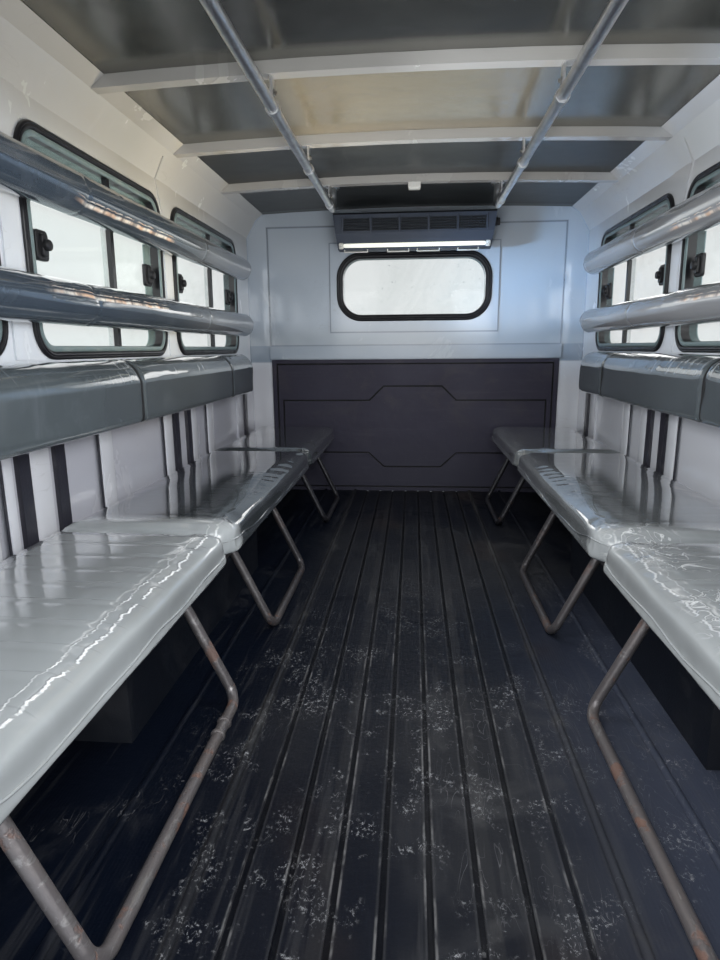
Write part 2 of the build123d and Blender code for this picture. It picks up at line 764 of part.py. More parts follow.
bow_top_half = wall_x(roof_z(eave_half, -seat_gap) - mat_z) - bow_end_gap
bow_bottom_half = wall_x(roof_z(eave_half, -bow_depth) - mat_z) - bow_end_gap
with BuildPart() as roof_bows:
    for place in bow_places:
        with BuildSketch(Plane.XZ.offset(-aft(place - bow_width / 2))):
            with BuildLine():
                ThreePointArc(
                    (-bow_top_half, roof_z(bow_top_half, -seat_gap)),
                    (0, roof_z(0, -seat_gap)),
                    (bow_top_half, roof_z(bow_top_half, -seat_gap)),
                )
                Line(
                    (bow_top_half, roof_z(bow_top_half, -seat_gap)),
                    (bow_bottom_half, roof_z(bow_bottom_half, -bow_depth)),
                )
                ThreePointArc(
                    (bow_bottom_half, roof_z(bow_bottom_half, -bow_depth)),
                    (0, roof_z(0, -bow_depth)),
                    (-bow_bottom_half, roof_z(bow_bottom_half, -bow_depth)),
                )
                Line(
                    (-bow_bottom_half, roof_z(bow_bottom_half, -bow_depth)),
                    (-bow_top_half, roof_z(bow_top_half, -seat_gap)),
                )
            make_face()
        extrude(amount=bow_width)
write(roof_bows, "roof_bows")

# Grab rails: bent tubes between flanges on the roof
with BuildPart() as grab_rails:
    for side in (-1, 1):
        x = side * grab_half
        seat = roof_z(grab_half + flange_radius, -seat_gap)
        with BuildLine() as course:
            FilletPolyline(
                (x, aft(grab_front), seat - flange_thickness),
                (x, aft(grab_front), up(grab_height)),
                (x, aft(grab_rear), up(grab_height)),
                (x, aft(grab_rear), seat - flange_thickness),
                radius=grab_bend,
            )
        with BuildSketch(Plane(origin=course.line @ 0, z_dir=course.line % 0)) as section:
            Circle(grab_radius)
        sweep(section.sketch, path=course.line)
        for place in (grab_front, grab_rear):
            with Locations((x, aft(place), seat - flange_thickness / 2)):
                Cylinder(flange_radius, flange_thickness)
write(grab_rails, "grab_rails")

# Hangers under the bows, a collar round the rail on each
with BuildPart() as rail_hangers:
    for side in (-1, 1):
        x = side * grab_half
        for place in bow_places:
            top = roof_z(grab_half + hanger_thickness, -bow_depth) - seat_gap
            across = (x - hanger_thickness / 2, x + hanger_thickness / 2)
            along = (aft(place) - hanger_width / 2, aft(place) + hanger_width / 2)
            block(across, along, (up(grab_height) + grab_radius + seat_gap, top))
            with BuildSketch(Plane.XZ.offset(-along[1])) as collar:
                with Locations((x, up(grab_height))):
                    Circle(grab_radius + collar_wall)
                    Circle(grab_radius + seat_gap, mode=Mode.SUBTRACT)
            extrude(collar.sketch, amount=hanger_width)
write(rail_hangers, "rail_hangers")

# Air unit under the roof at the front wall
unit_outline = [(unit_depth - back, height) for back, height in unit_face + unit_underside]
unit_back = [(seat_gap, unit_underside[-1][1]), (seat_gap, unit_face[0][1])]
unit_top = unit_face[0][1]
unit_foot = unit_face[-1][1]
with BuildPart() as air_unit:
    with BuildSketch(Plane.YZ.offset(-unit_half)):
        with BuildLine():
            Polyline(*[(aft(place), up(height)) for place, height in unit_outline + unit_back], close=True)
        make_face()
    extrude(amount=2 * unit_half)
    fillet(air_unit.edges().filter_by(Axis.X).group_by(Axis.Y)[0], unit_round)
    with BuildSketch(Plane.XZ.offset(-bulkhead_y)):
        with BuildLine():
            Polyline(
                (-unit_half, up(unit_top)),
                (unit_half, up(unit_top)),
                (unit_half - unit_taper, up(unit_foot)),
                (unit_taper - unit_half, up(unit_foot)),
                close=True,
            )
        make_face()
    extrude(amount=unit_depth, mode=Mode.INTERSECT)
    for index in range(bay_count):
        x = (index - (bay_count - 1) / 2) * bay_pitch
        across = (x - bay_width / 2, x + bay_width / 2)
        rise = (up(bay_level - bay_height / 2), up(bay_level + bay_height / 2))
        block(across, (aft(unit_depth - bay_recess), aft(unit_depth + bay_recess)), rise, Mode.SUBTRACT)
write(air_unit, "air_unit")

with BuildPart() as air_grilles:
    for index in range(bay_count):
        x = (index - (bay_count - 1) / 2) * bay_pitch
        half = bay_width / 2 - seat_gap
        back = aft(unit_depth - bay_recess + seat_gap)
        face = aft(unit_depth - grille_inset)
        low = up(bay_level - bay_height / 2 + seat_gap)
        high = up(bay_level + bay_height / 2 - seat_gap)
        block((x - half, x + half), (back, face), (low, high))
        inner = half - blade_thickness
        frame_rise = (low + blade_thickness, high - blade_thickness)
        block((x - inner, x + inner), (back, face), frame_rise, Mode.SUBTRACT)
        block((x - half, x + half), (back, back - blade_thickness), (low, high))
        for blade in range(blade_count):
            level = low + (high - low) * (blade + 1) / (blade_count + 1)
            blade_rise = (level - blade_thickness / 2, level + blade_thickness / 2)
            block((x - half, x + half), (back, face), blade_rise)
write(air_grilles, "air_grilles")

# Lamp on the foremost bow
with BuildPart() as cabin_lamp:
    top = roof_z(0, -bow_depth) - seat_gap
    with Locations((0, aft(bow_places[0]), top - lamp_height / 2)):
        Box(lamp_width, lamp_length, lamp_height)
    fillet(cabin_lamp.edges().group_by(Axis.Z)[0], lamp_round)
write(cabin_lamp, "cabin_lamp")

# Padded rails, the upper and the middle one on each side
for name, height, radius in padded_rails:
    with BuildPart() as pad_right:
        x = wall_x(height) - (lip_thickness + seat_gap) / cos(radians(lean)) - radius / cos(radians(lean))
        with BuildSketch(Plane.XZ.offset(-aft(pad_front))):
            with Locations((x, up(height))):
                Circle(radius)
        extrude(amount=pad_rear - pad_front)
        fillet(pad_right.edges().filter_by(GeomType.CIRCLE), pad_end_round)
    write(pad_right, f"{name}_right")
    with BuildPart() as pad_left:
        mirror(pad_right.part, about=Plane.YZ)
    write(pad_left, f"{name}_left")

# Uprights on the bed's sides, and the backrest pads in front of them
with BuildPart() as backrest_posts:
    for side in (-1, 1):
        for place in post_places:
            across = (side * half_in, side * (half_in - post_thickness))
            along = (aft(place) - post_width / 2, aft(place) + post_width / 2)
            foot = up(seat_top - cushion_thickness - seat_gap)
            block(across, along, (foot, up(sill_height)))
write(backrest_posts, "backrest_posts")

with BuildPart() as backrest_right:
    back = half_in - post_thickness - seat_gap
    nose = half_in - backrest_depth
    roll_foot = backrest_top - backrest_roll
    with BuildSketch(Plane.XZ.offset(-aft(pad_front))):
        with BuildLine():
            Polyline(
                (back, up(backrest_bottom + backrest_back_height)),
                (back, up(backrest_bottom)),
                (nose + backrest_foot_round, up(backrest_bottom)),
            )
            RadiusArc(
                (nose + backrest_foot_round, up(backrest_bottom)),
                (nose, up(backrest_bottom + backrest_foot_round)),
                backrest_foot_round,
            )
            Line((nose, up(backrest_bottom + backrest_foot_round)), (nose, up(roll_foot)))
            ThreePointArc(
                (nose, up(roll_foot)),
                (nose + backrest_roll_inset, up(roll_foot + backrest_roll_rise)),
                (back - backrest_top_inset, up(backrest_top)),
            )
            Line(
                (back - backrest_top_inset, up(backrest_top)),
                (back, up(backrest_bottom + backrest_back_height)),
            )
        make_face()
    extrude(amount=pad_rear - pad_front)
    for end, step in ((pad_front, 1), (pad_rear, -1)):
        round_end = aft(end + step * backrest_end_round)
        outside = (nose - weld_bite, aft(end - step * weld_bite))
        with BuildSketch(Plane.XY.offset(up(backrest_bottom))):
            with BuildLine():
                Polyline(
                    (nose, round_end),
                    (outside[0], round_end),
                    outside,
                    (nose + backrest_end_round, outside[1]),
                    (nose + backrest_end_round, aft(end)),
                )
                RadiusArc((nose + backrest_end_round, aft(end)), (nose, round_end), -step * backrest_end_round)
            make_face()
        extrude(amount=backrest_top, both=True, mode=Mode.SUBTRACT)
write(backrest_right, "backrest_right")

with BuildPart() as backrest_left:
    mirror(backrest_right.part, about=Plane.YZ)
write(backrest_left, "backrest_left")

# Benches: a board on a U-shaped tube leg, and a cushion on each
board_top = seat_top - cushion_thickness - seat_gap
leg_rise = board_top - board_thickness / 2 - leg_radius - seat_gap
leg_slope = hypot(leg_head - leg_foot, leg_rise)
with BuildPart() as bench_frames_right:
    for (start, end), (leg_start, leg_end) in zip(bench_places, leg_places):
        along = (aft(start + board_gap / 2), aft(end - board_gap / 2))
        block((seat_inner + board_inset, half_in), along, (up(board_top - board_thickness), up(board_top)))
        foot = (leg_foot, aft((leg_start + leg_end) / 2), up(leg_radius + seat_gap))
        leg_plane = Plane(origin=foot, x_dir=(0, 1, 0), z_dir=(leg_rise, 0, leg_foot - leg_head))
        half = (leg_end - leg_start) / 2
        with BuildLine(leg_plane) as course:
            FilletPolyline((-half, leg_slope), (-half, 0), (half, 0), (half, leg_slope), radius=leg_bend)
        with BuildSketch(Plane(origin=course.line @ 0, z_dir=course.line % 0)) as section:
            Circle(leg_radius)
        sweep(section.sketch, path=course.line)
write(bench_frames_right, "bench_frames_right")

with BuildPart() as bench_frames_left:
    mirror(bench_frames_right.part, about=Plane.YZ)
write(bench_frames_left, "bench_frames_left")

for number, (start, end) in enumerate(bench_places, 1):
    with BuildPart() as cushion_right:
        rise = (up(seat_top - cushion_thickness), up(seat_top))
        block((seat_inner, seat_outer), (aft(start), aft(end)), rise)
        fillet(cushion_right.edges().filter_by(Axis.Z).group_by(Axis.X)[0], cushion_corner)
        fillet(cushion_right.edges().group_by(Axis.Z)[-1], cushion_round)
    write(cushion_right, f"seat_cushion_right_{number}")
    with BuildPart() as cushion_left:
        mirror(cushion_right.part, about=Plane.YZ)
    write(cushion_left, f"seat_cushion_left_{number}")

# Rear frame: a portal with the tailgate's hinge lugs and the struts' pins
gate_hinge_y = rear_y - gate_hinge_back
gate_hinge_z = up(-gate_hinge_drop)
strut_foot_y = hatch_hinge_y + strut_foot_forward
strut_foot_z = hatch_hinge_z - strut_foot_drop
with BuildPart() as rear_frame:
    with BuildSketch(Plane.XZ.offset(-frame_y)):
        with BuildLine():
            Polyline(
                (-eave_half, roof_edge_z - seat_gap),
                (-eave_half, up(eave_height)),
                (-eave_half - canopy_offset, up(eave_height)),
                (-shoulder_half - canopy_offset, up(shoulder_height)),
                (-half_in - canopy_offset, up(sill_height)),
                (-half_out, up(sill_height)),
                (-half_out, up(-skirt_drop)),
                (half_out, up(-skirt_drop)),
                (half_out, up(sill_height)),
                (half_in + canopy_offset, up(sill_height)),
                (shoulder_half + canopy_offset, up(shoulder_height)),
                (eave_half + canopy_offset, up(eave_height)),
                (eave_half, up(eave_height)),
                (eave_half, roof_edge_z - seat_gap),
            )
            ThreePointArc(
                (eave_half, roof_edge_z - seat_gap),
                (0, roof_z(0, shell_under) - seat_gap),
                (-eave_half, roof_edge_z - seat_gap),
            )
        make_face()
    extrude(amount=rear_frame_depth)
    through = (frame_y, rear_y)
    block((-lower_opening_half, lower_opening_half), through, (mat_z, up(sill_height)), Mode.SUBTRACT)
    block((-upper_opening_half, upper_opening_half), through, (mat_z, up(header_height)), Mode.SUBTRACT)
    for side in (-1, 1):
        rail_x = (side * (rail_spacing - rail_width) / 2, side * (rail_spacing + rail_width) / 2)
        block(rail_x, through, (up(-skirt_drop), rail_height), Mode.SUBTRACT)
        with BuildSketch(Plane.YZ.offset(side * (strut_half - strut_eye_thickness / 2))) as pin:
            with Locations((strut_foot_y, strut_foot_z)):
                Circle(strut_pin_radius)
        extrude(pin.sketch, amount=side * (strut_jamb_gap + strut_eye_thickness / 2 + weld_bite))
    for place in gate_hinges:
        for shift in (-lug_middle, lug_middle):
            across = (place + shift - lug_length / 2, place + shift + lug_length / 2)
            rise = (gate_hinge_z - knuckle_radius, gate_hinge_z + knuckle_radius)
            block(across, (rear_y, gate_hinge_y), rise)
            with BuildSketch(Plane.YZ.offset(across[0])) as barrel:
                with Locations((gate_hinge_y, gate_hinge_z)):
                    Circle(knuckle_radius)
            extrude(barrel.sketch, amount=lug_length)
        with BuildSketch(Plane.YZ.offset(place - lug_middle)) as pin:
            with Locations((gate_hinge_y, gate_hinge_z)):
                Circle(hinge_pin_radius)
        extrude(pin.sketch, amount=2 * lug_middle)
write(rear_frame, "rear_frame")

# Tail lamps on the rear frame's posts
with BuildPart() as tail_lamps:
    for side in (-1, 1):
        across = (side * (lower_opening_half + tail_lamp_margin), side * (half_out - tail_lamp_margin))
        rise = (up(tail_lamp_bottom), up(tail_lamp_top))
        block(across, (rear_y, rear_y - tail_lamp_proud), rise)
    fillet(tail_lamps.edges().group_by(Axis.Y)[0], tail_lamp_round)
write(tail_lamps, "tail_lamps")

# Tailgate: drawn from its hinge, u along the gate and n towards the load space
gate_along = (0, -sin(radians(gate_angle)), cos(radians(gate_angle)))
gate_side = Plane(origin=(0, gate_hinge_y, gate_hinge_z), x_dir=gate_along, z_dir=(-1, 0, 0))
gate_start = gate_hinge_drop + moving_gap
gate_end = gate_hinge_drop + gate_height
gate_half = lower_opening_half - moving_gap
gate_bay_pitch = (2 * (gate_half - gate_bay_side) + gate_bay_gap) / gate_bay_count
with BuildPart() as tailgate:
    with BuildSketch(gate_side):
        with Locations(((gate_start + gate_end) / 2, gate_hinge_back + gate_thickness / 2)):
            Rectangle(gate_end - gate_start, gate_thickness)
    extrude(amount=gate_half, both=True)
    for index in range(gate_bay_count):
        bay_start = index * gate_bay_pitch - gate_half + gate_bay_side
        for level in (gate_hinge_back, gate_hinge_back + gate_thickness):
            with BuildSketch(gate_side.offset(-bay_start)) as bay:
                with Locations(((gate_start + gate_end) / 2, level)):
                    Rectangle(gate_end - gate_start - 2 * gate_bay_margin, 2 * gate_bay_depth)
            extrude(bay.sketch, amount=gate_bay_gap - gate_bay_pitch, mode=Mode.SUBTRACT)
write(tailgate, "tailgate")

with BuildPart() as tailgate_fittings:
    for place in gate_hinges:
        with BuildSketch(gate_side.offset(-place - knuckle_length / 2)) as strap:
            Circle(knuckle_radius)
            strap_top = strap_thickness - weld_bite
            with BuildLine():
                Polyline(
                    (0, -weld_bite),
                    (gate_start, -weld_bite),
                    (gate_start + strap_step, gate_hinge_back - strap_thickness),
                    (gate_start + strap_length, gate_hinge_back - strap_thickness),
                    (gate_start + strap_length, gate_hinge_back),
                    (gate_start, gate_hinge_back),
                    (gate_start - strap_step, strap_top),
                    (0, strap_top),
                    close=True,
                )
            make_face()
            Circle(hinge_pin_radius + pin_gap, mode=Mode.SUBTRACT)
        extrude(strap.sketch, amount=knuckle_length)
write(tailgate_fittings, "tailgate_fittings")

# Hatch: drawn from its hinge, x across, y down the hatch, z towards the load space
hatch_normal = (0, cos(radians(hatch_angle)), -sin(radians(hatch_angle)))
hatch_face = Plane(origin=(0, hatch_hinge_y, hatch_hinge_z), x_dir=(1, 0, 0), z_dir=hatch_normal)
hatch_glass_middle = (hatch_glass_start + hatch_glass_end) / 2
hatch_side = Plane(
    origin=(0, hatch_hinge_y, hatch_hinge_z),
    x_dir=(0, -sin(radians(hatch_angle)), -cos(radians(hatch_angle))),
    z_dir=(1, 0, 0),
)
with BuildPart() as hatch_frame:
    with BuildSketch(hatch_face.offset(-hatch_thickness / 2)):
        with BuildLine():
            Polyline(
                (-hatch_top_half, hatch_start),
                (hatch_top_half, hatch_start),
                (hatch_bottom_half, hatch_end),
                (-hatch_bottom_half, hatch_end),
                close=True,
            )
        make_face()
        with Locations((0, hatch_glass_middle)):
            RectangleRounded(
                2 * hatch_glass_half, hatch_glass_end - hatch_glass_start, hatch_glass_corner, mode=Mode.SUBTRACT
            )
    extrude(amount=hatch_thickness)
    for place in hatch_hinges:
        with BuildSketch(hatch_side.offset(place - knuckle_length / 2)) as knuckle:
            Circle(knuckle_radius)
            with Locations(((hatch_start + weld_bite) / 2, -knuckle_radius / 2)):
                Rectangle(hatch_start + weld_bite, knuckle_radius)
            Circle(hinge_pin_radius + pin_gap, mode=Mode.SUBTRACT)
        extrude(knuckle.sketch, amount=knuckle_length)
    for side in (-1, 1):
        ear_x = side * (strut_half + strut_eye_thickness / 2 + lug_gap / 2)
        with BuildSketch(hatch_side.offset(ear_x)) as ear:
            with Locations((strut_head_along, hatch_thickness / 2 + strut_head_out)):
                Circle(strut_eye_radius)
            with Locations((strut_head_along, hatch_thickness / 2 + strut_head_out / 2)):
                Rectangle(2 * strut_eye_radius, strut_head_out)
        extrude(ear.sketch, amount=side * strut_ear_thickness)
write(hatch_frame, "hatch_frame")

with BuildPart() as hatch_glass:
    with BuildSketch(hatch_face.offset(-glass_thickness / 2)):
        with Locations((0, hatch_glass_middle)):
            RectangleRounded(
                2 * (hatch_glass_half - seat_gap),
                hatch_glass_end - hatch_glass_start - 2 * seat_gap,
                hatch_glass_corner - seat_gap,
            )
    extrude(amount=glass_thickness)
write(hatch_glass, "hatch_glass")

# Gas struts, drawn at the hatch's rest angle
head_out = hatch_thickness / 2 + strut_head_out
head_y = hatch_hinge_y - strut_head_along * sin(radians(hatch_angle)) + head_out * cos(radians(hatch_angle))
head_z = hatch_hinge_z - strut_head_along * cos(radians(hatch_angle)) - head_out * sin(radians(hatch_angle))
strut_reach = hypot(head_y - strut_foot_y, head_z - strut_foot_z)
strut_course = (0, (head_y - strut_foot_y) / strut_reach, (head_z - strut_foot_z) / strut_reach)
for side, word in ((-1, "left"), (1, "right")):
    x = side * strut_half
    foot_place = Vector(x, strut_foot_y, strut_foot_z)
    strut_end = Plane(origin=foot_place, x_dir=(1, 0, 0), z_dir=strut_course)
    with BuildPart() as tube:
        with BuildSketch(strut_end.offset(strut_eye_radius)) as wall:
            Circle(strut_tube_radius)
        extrude(amount=strut_tube_length - strut_eye_radius)
        with BuildSketch(Plane.YZ.offset(x - strut_eye_thickness / 2)) as eye:
            with Locations((strut_foot_y, strut_foot_z)):
                Circle(strut_tube_radius)
        extrude(eye.sketch, amount=strut_eye_thickness)
        with BuildSketch(Plane.YZ.offset(x - strut_tube_radius)) as pin_hole:
            with Locations((strut_foot_y, strut_foot_z)):
                Circle(strut_pin_radius + pin_gap)
        extrude(pin_hole.sketch, amount=2 * strut_tube_radius, mode=Mode.SUBTRACT)
        with BuildSketch(strut_end.offset(strut_eye_radius + strut_neck)) as bore:
            Circle(strut_rod_radius + pin_gap)
        extrude(bore.sketch, amount=strut_tube_length, mode=Mode.SUBTRACT)
    write(tube, f"strut_tube_{word}")
    with BuildPart() as rod:
        with BuildSketch(strut_end.offset(strut_reach - strut_rod_length)) as bar:
            Circle(strut_rod_radius)
        extrude(amount=strut_rod_length - strut_eye_radius / 2)
        with BuildSketch(Plane.YZ.offset(x - strut_eye_thickness / 2)) as eye:
            with Locations((head_y, head_z)):
                Circle(strut_eye_radius)
        extrude(eye.sketch, amount=strut_eye_thickness)
    write(rod, f"strut_rod_{word}")
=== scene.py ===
"""Dresses the passenger load body of a light truck: paint, padding, film, glass and fittings."""
import json
import math

import bmesh
import bpy
import numpy as np
from mathutils import Matrix, Vector
from mathutils.bvhtree import BVHTree


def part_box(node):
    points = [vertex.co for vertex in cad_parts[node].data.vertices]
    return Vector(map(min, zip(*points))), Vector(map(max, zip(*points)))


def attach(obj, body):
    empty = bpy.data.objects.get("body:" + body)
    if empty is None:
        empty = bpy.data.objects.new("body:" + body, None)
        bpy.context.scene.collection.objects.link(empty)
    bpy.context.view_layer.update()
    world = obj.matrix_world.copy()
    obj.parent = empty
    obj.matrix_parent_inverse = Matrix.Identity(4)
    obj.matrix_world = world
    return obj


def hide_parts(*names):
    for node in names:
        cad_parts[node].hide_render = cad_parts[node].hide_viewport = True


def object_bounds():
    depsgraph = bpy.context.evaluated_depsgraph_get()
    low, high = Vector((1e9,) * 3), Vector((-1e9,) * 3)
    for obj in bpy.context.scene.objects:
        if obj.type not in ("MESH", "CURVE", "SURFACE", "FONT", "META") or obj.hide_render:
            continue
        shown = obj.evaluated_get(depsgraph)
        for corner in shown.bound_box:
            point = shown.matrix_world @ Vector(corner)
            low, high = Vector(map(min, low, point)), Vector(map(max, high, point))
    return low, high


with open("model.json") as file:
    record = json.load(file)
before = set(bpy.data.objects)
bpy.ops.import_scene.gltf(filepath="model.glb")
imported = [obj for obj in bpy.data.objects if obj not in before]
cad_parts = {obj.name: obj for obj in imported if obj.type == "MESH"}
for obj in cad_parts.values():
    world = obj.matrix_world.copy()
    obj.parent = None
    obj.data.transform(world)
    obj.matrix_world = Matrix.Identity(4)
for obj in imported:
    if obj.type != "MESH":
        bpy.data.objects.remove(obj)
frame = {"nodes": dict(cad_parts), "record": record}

bl_info = {
    "name": "Truck body dressing",
    "version": (1, 0, 0),
    "blender": (4, 5, 0),
    "location": "View3D > Sidebar > Truck body",
    "description": "Padding, trim and finishes around the load body of a light truck",
    "category": "Object",
}

# Places, in metres: the bulkhead liner's lowest corner lies on the bulkhead's face and the mat
CAD_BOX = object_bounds()
WALL_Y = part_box("bulkhead_liner")[0][1]
MAT_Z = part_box("bulkhead_liner")[0][2]
SIDES = {"left": -1, "right": 1}
HALF_WIDTH = 0.750
SILL = 0.620
SHOULDER = 1.150
SHOULDER_HALF = 0.746
CANOPY_WALL = 0.038
LEAN = math.atan((HALF_WIDTH - SHOULDER_HALF) / (SHOULDER - SILL))

# Side windows: (start, end) behind the bulkhead, middle above the mat, height, corner, how far outside the
# canopy's inner face the front and the rear pane lie, and their latches' distance from the window's ends
WINDOWS = [(0.225, 0.920), (1.020, 1.690), (1.785, 2.480)]
WINDOW_MIDDLE = 0.877
WINDOW_HEIGHT = 0.445
WINDOW_CORNER = 0.060
PANES = (0.023, 0.015)
LATCH_INSET = 0.065

# Front window: width, height and corner of its opening
FRONT_WINDOW = (0.678, 0.286, 0.105)

# Places behind the bulkhead: roof bows, the grab rails' ends, and the seams of rails and backrests
BOWS = (0.514, 0.968, 1.445, 1.915, 2.385)
GRAB_ENDS = (0.400, 2.525)
RAIL_SEAMS = (0.860, 1.600, 2.340)
BACK_SEAMS = (0.640, 1.420, 2.220)

# Grab rails: distance of each from the middle, the screws' circle in its end flanges, and the height of the
# bolts through its hangers
GRAB_X = 0.305
FLANGE_CIRCLE = 0.0182
HANGER_BOLT = 1.205

# Ribs pressed into the bed's sides: (start, end) behind the bulkhead, foot and head above the mat
RIBS = [
    (0.613, 0.683), (0.797, 0.856), (1.022, 1.083), (1.416, 1.479), (1.692, 1.760), (1.814, 1.842),
    (1.872, 1.932), (2.200, 2.262),
]
RIB_FOOT = 0.190
RIB_HEAD = 0.612

# Padding: plan corner of a cushion, plan arc of a backrest's end, and the film's crease from the middle
CORNER = 0.050
BACK_ROUND = 0.080
CREASE_X = 0.360

# Mat: the first groove's place beside the middle, and from groove to groove
GROOVE_FIRST = 0.0295
GROOVE_PITCH = 0.060

# Front wall: half width, bottom and top of the recessed field and of the window panel
FIELD = (0.657, 0.680, 1.195)
PANEL = (0.377, 0.738, 1.125)

# Bench legs: (start, end) behind the bulkhead, feet and heads from the middle, and the board's underside
LEGS = [(0.200, 0.594), (1.106, 1.526), (1.845, 2.385)]
LEG_FOOT_X = 0.330
LEG_HEAD_X = 0.440
LEG_RADIUS = 0.010
BOARD_UNDER = 0.2347

# Air unit: vents, their pitch and their height, and the light strip's middle and the way it faces
VENTS = 5
VENT_PITCH = 0.118
VENT_HEIGHT = 1.163
STRIP = (0, 0.182, 1.084)
STRIP_SLOPE = np.array((0, -0.936, -0.351))


def aft(distance):
    """y of a place this far behind the bulkhead."""
    return WALL_Y - distance


def up(height):
    """z of a place this far above the mat."""
    return MAT_Z + height


def at(x, distance, height):
    """A place: from the middle, behind the bulkhead and above the mat."""
    return x, aft(distance), up(height)


def wall_x(height):
    """Half the inside width of the canopy at a height between its sill and its shoulder."""
    return HALF_WIDTH - (height - SILL) * math.tan(LEAN)


# Settings

def length_setting(name, words, default):
    """A length that a user may change."""
    return bpy.props.FloatProperty(name=name, description=words, default=default, unit="LENGTH")


def colour_setting(name, words, default):
    """A colour that a user may change."""
    return bpy.props.FloatVectorProperty(
        name=name, description=words, default=default, subtype="COLOR", size=3
    )


class PaddingSettings(bpy.types.PropertyGroup):
    """Sizes and colours of the cushions, backrests and padded rails."""

    voxel: length_setting("Cushion voxel", "Grid size of the simulated cushions", 0.010)
    pressure: bpy.props.FloatProperty(
        name="Pressure", description="How hard the filling swells the cushions", default=4.0
    )
    swell: length_setting("Largest swell", "How far a point of a cushion may move", 0.006)
    welt: length_setting("Welt inset", "Cushion's edge to the sewn welt", 0.007)
    channel: length_setting("Channel pitch", "Distance between sewn channels", 0.068)
    seat_colour: colour_setting("Seat", "Vinyl of the cushions", (0.290, 0.310, 0.320))
    back_colour: colour_setting("Backrest", "Vinyl of the backrests", (0.075, 0.090, 0.100))
    rail_colour: colour_setting("Rails", "Vinyl of the padded rails", (0.041, 0.055, 0.074))


class BodySettings(bpy.types.PropertyGroup):
    """Colours of the painted, rubber and moulded surfaces."""

    paint: colour_setting("Paint", "Gloss paint of the walls", (0.650, 0.690, 0.745))
    mat: colour_setting("Mat", "Ribbed rubber mat", (0.0036, 0.0048, 0.0088))
    dust: colour_setting("Dust", "Dust lying on the mat", (0.24, 0.245, 0.26))
    liner: colour_setting("Bulkhead", "Moulded sheet on the bulkhead", (0.0275, 0.0262, 0.0445))
    lining: colour_setting("Roof lining", "Board under the roof", (0.0250, 0.0285, 0.0315))
    legs: colour_setting("Bench legs", "Paint of the bench frames", (0.150, 0.138, 0.142))
    rust: colour_setting("Rust", "Rust under the chipped paint", (0.15, 0.078, 0.055))


def padding():
    """The scene's padding settings."""
    return bpy.context.scene.truck_padding


def body_colours():
    """The scene's body settings."""
    return bpy.context.scene.truck_body


# Shader maths

class Level:
    """A socket's value in a finish; arithmetic on it adds the Math nodes that work it out."""

    def __init__(self, finish, socket):
        self.finish = finish
        self.socket = socket

    def __add__(self, other):
        return self.finish.math("ADD", self, other)

    def __radd__(self, other):
        return self.finish.math("ADD", other, self)

    def __sub__(self, other):
        return self.finish.math("SUBTRACT", self, other)

    def __rsub__(self, other):
        return self.finish.math("SUBTRACT", other, self)

    def __mul__(self, other):
        return self.finish.math("MULTIPLY", self, other)

    def __rmul__(self, other):
        return self.finish.math("MULTIPLY", other, self)

    def __abs__(self):
        return self.finish.math("ABSOLUTE", self)

    def over(self, low, high):
        """0 below low, 1 above high, smooth between; with low above high it falls instead."""
        settings = {"interpolation_type": "SMOOTHSTEP"}
        return self.finish.node("ShaderNodeMapRange", settings, {0: self, 1: low, 2: high})


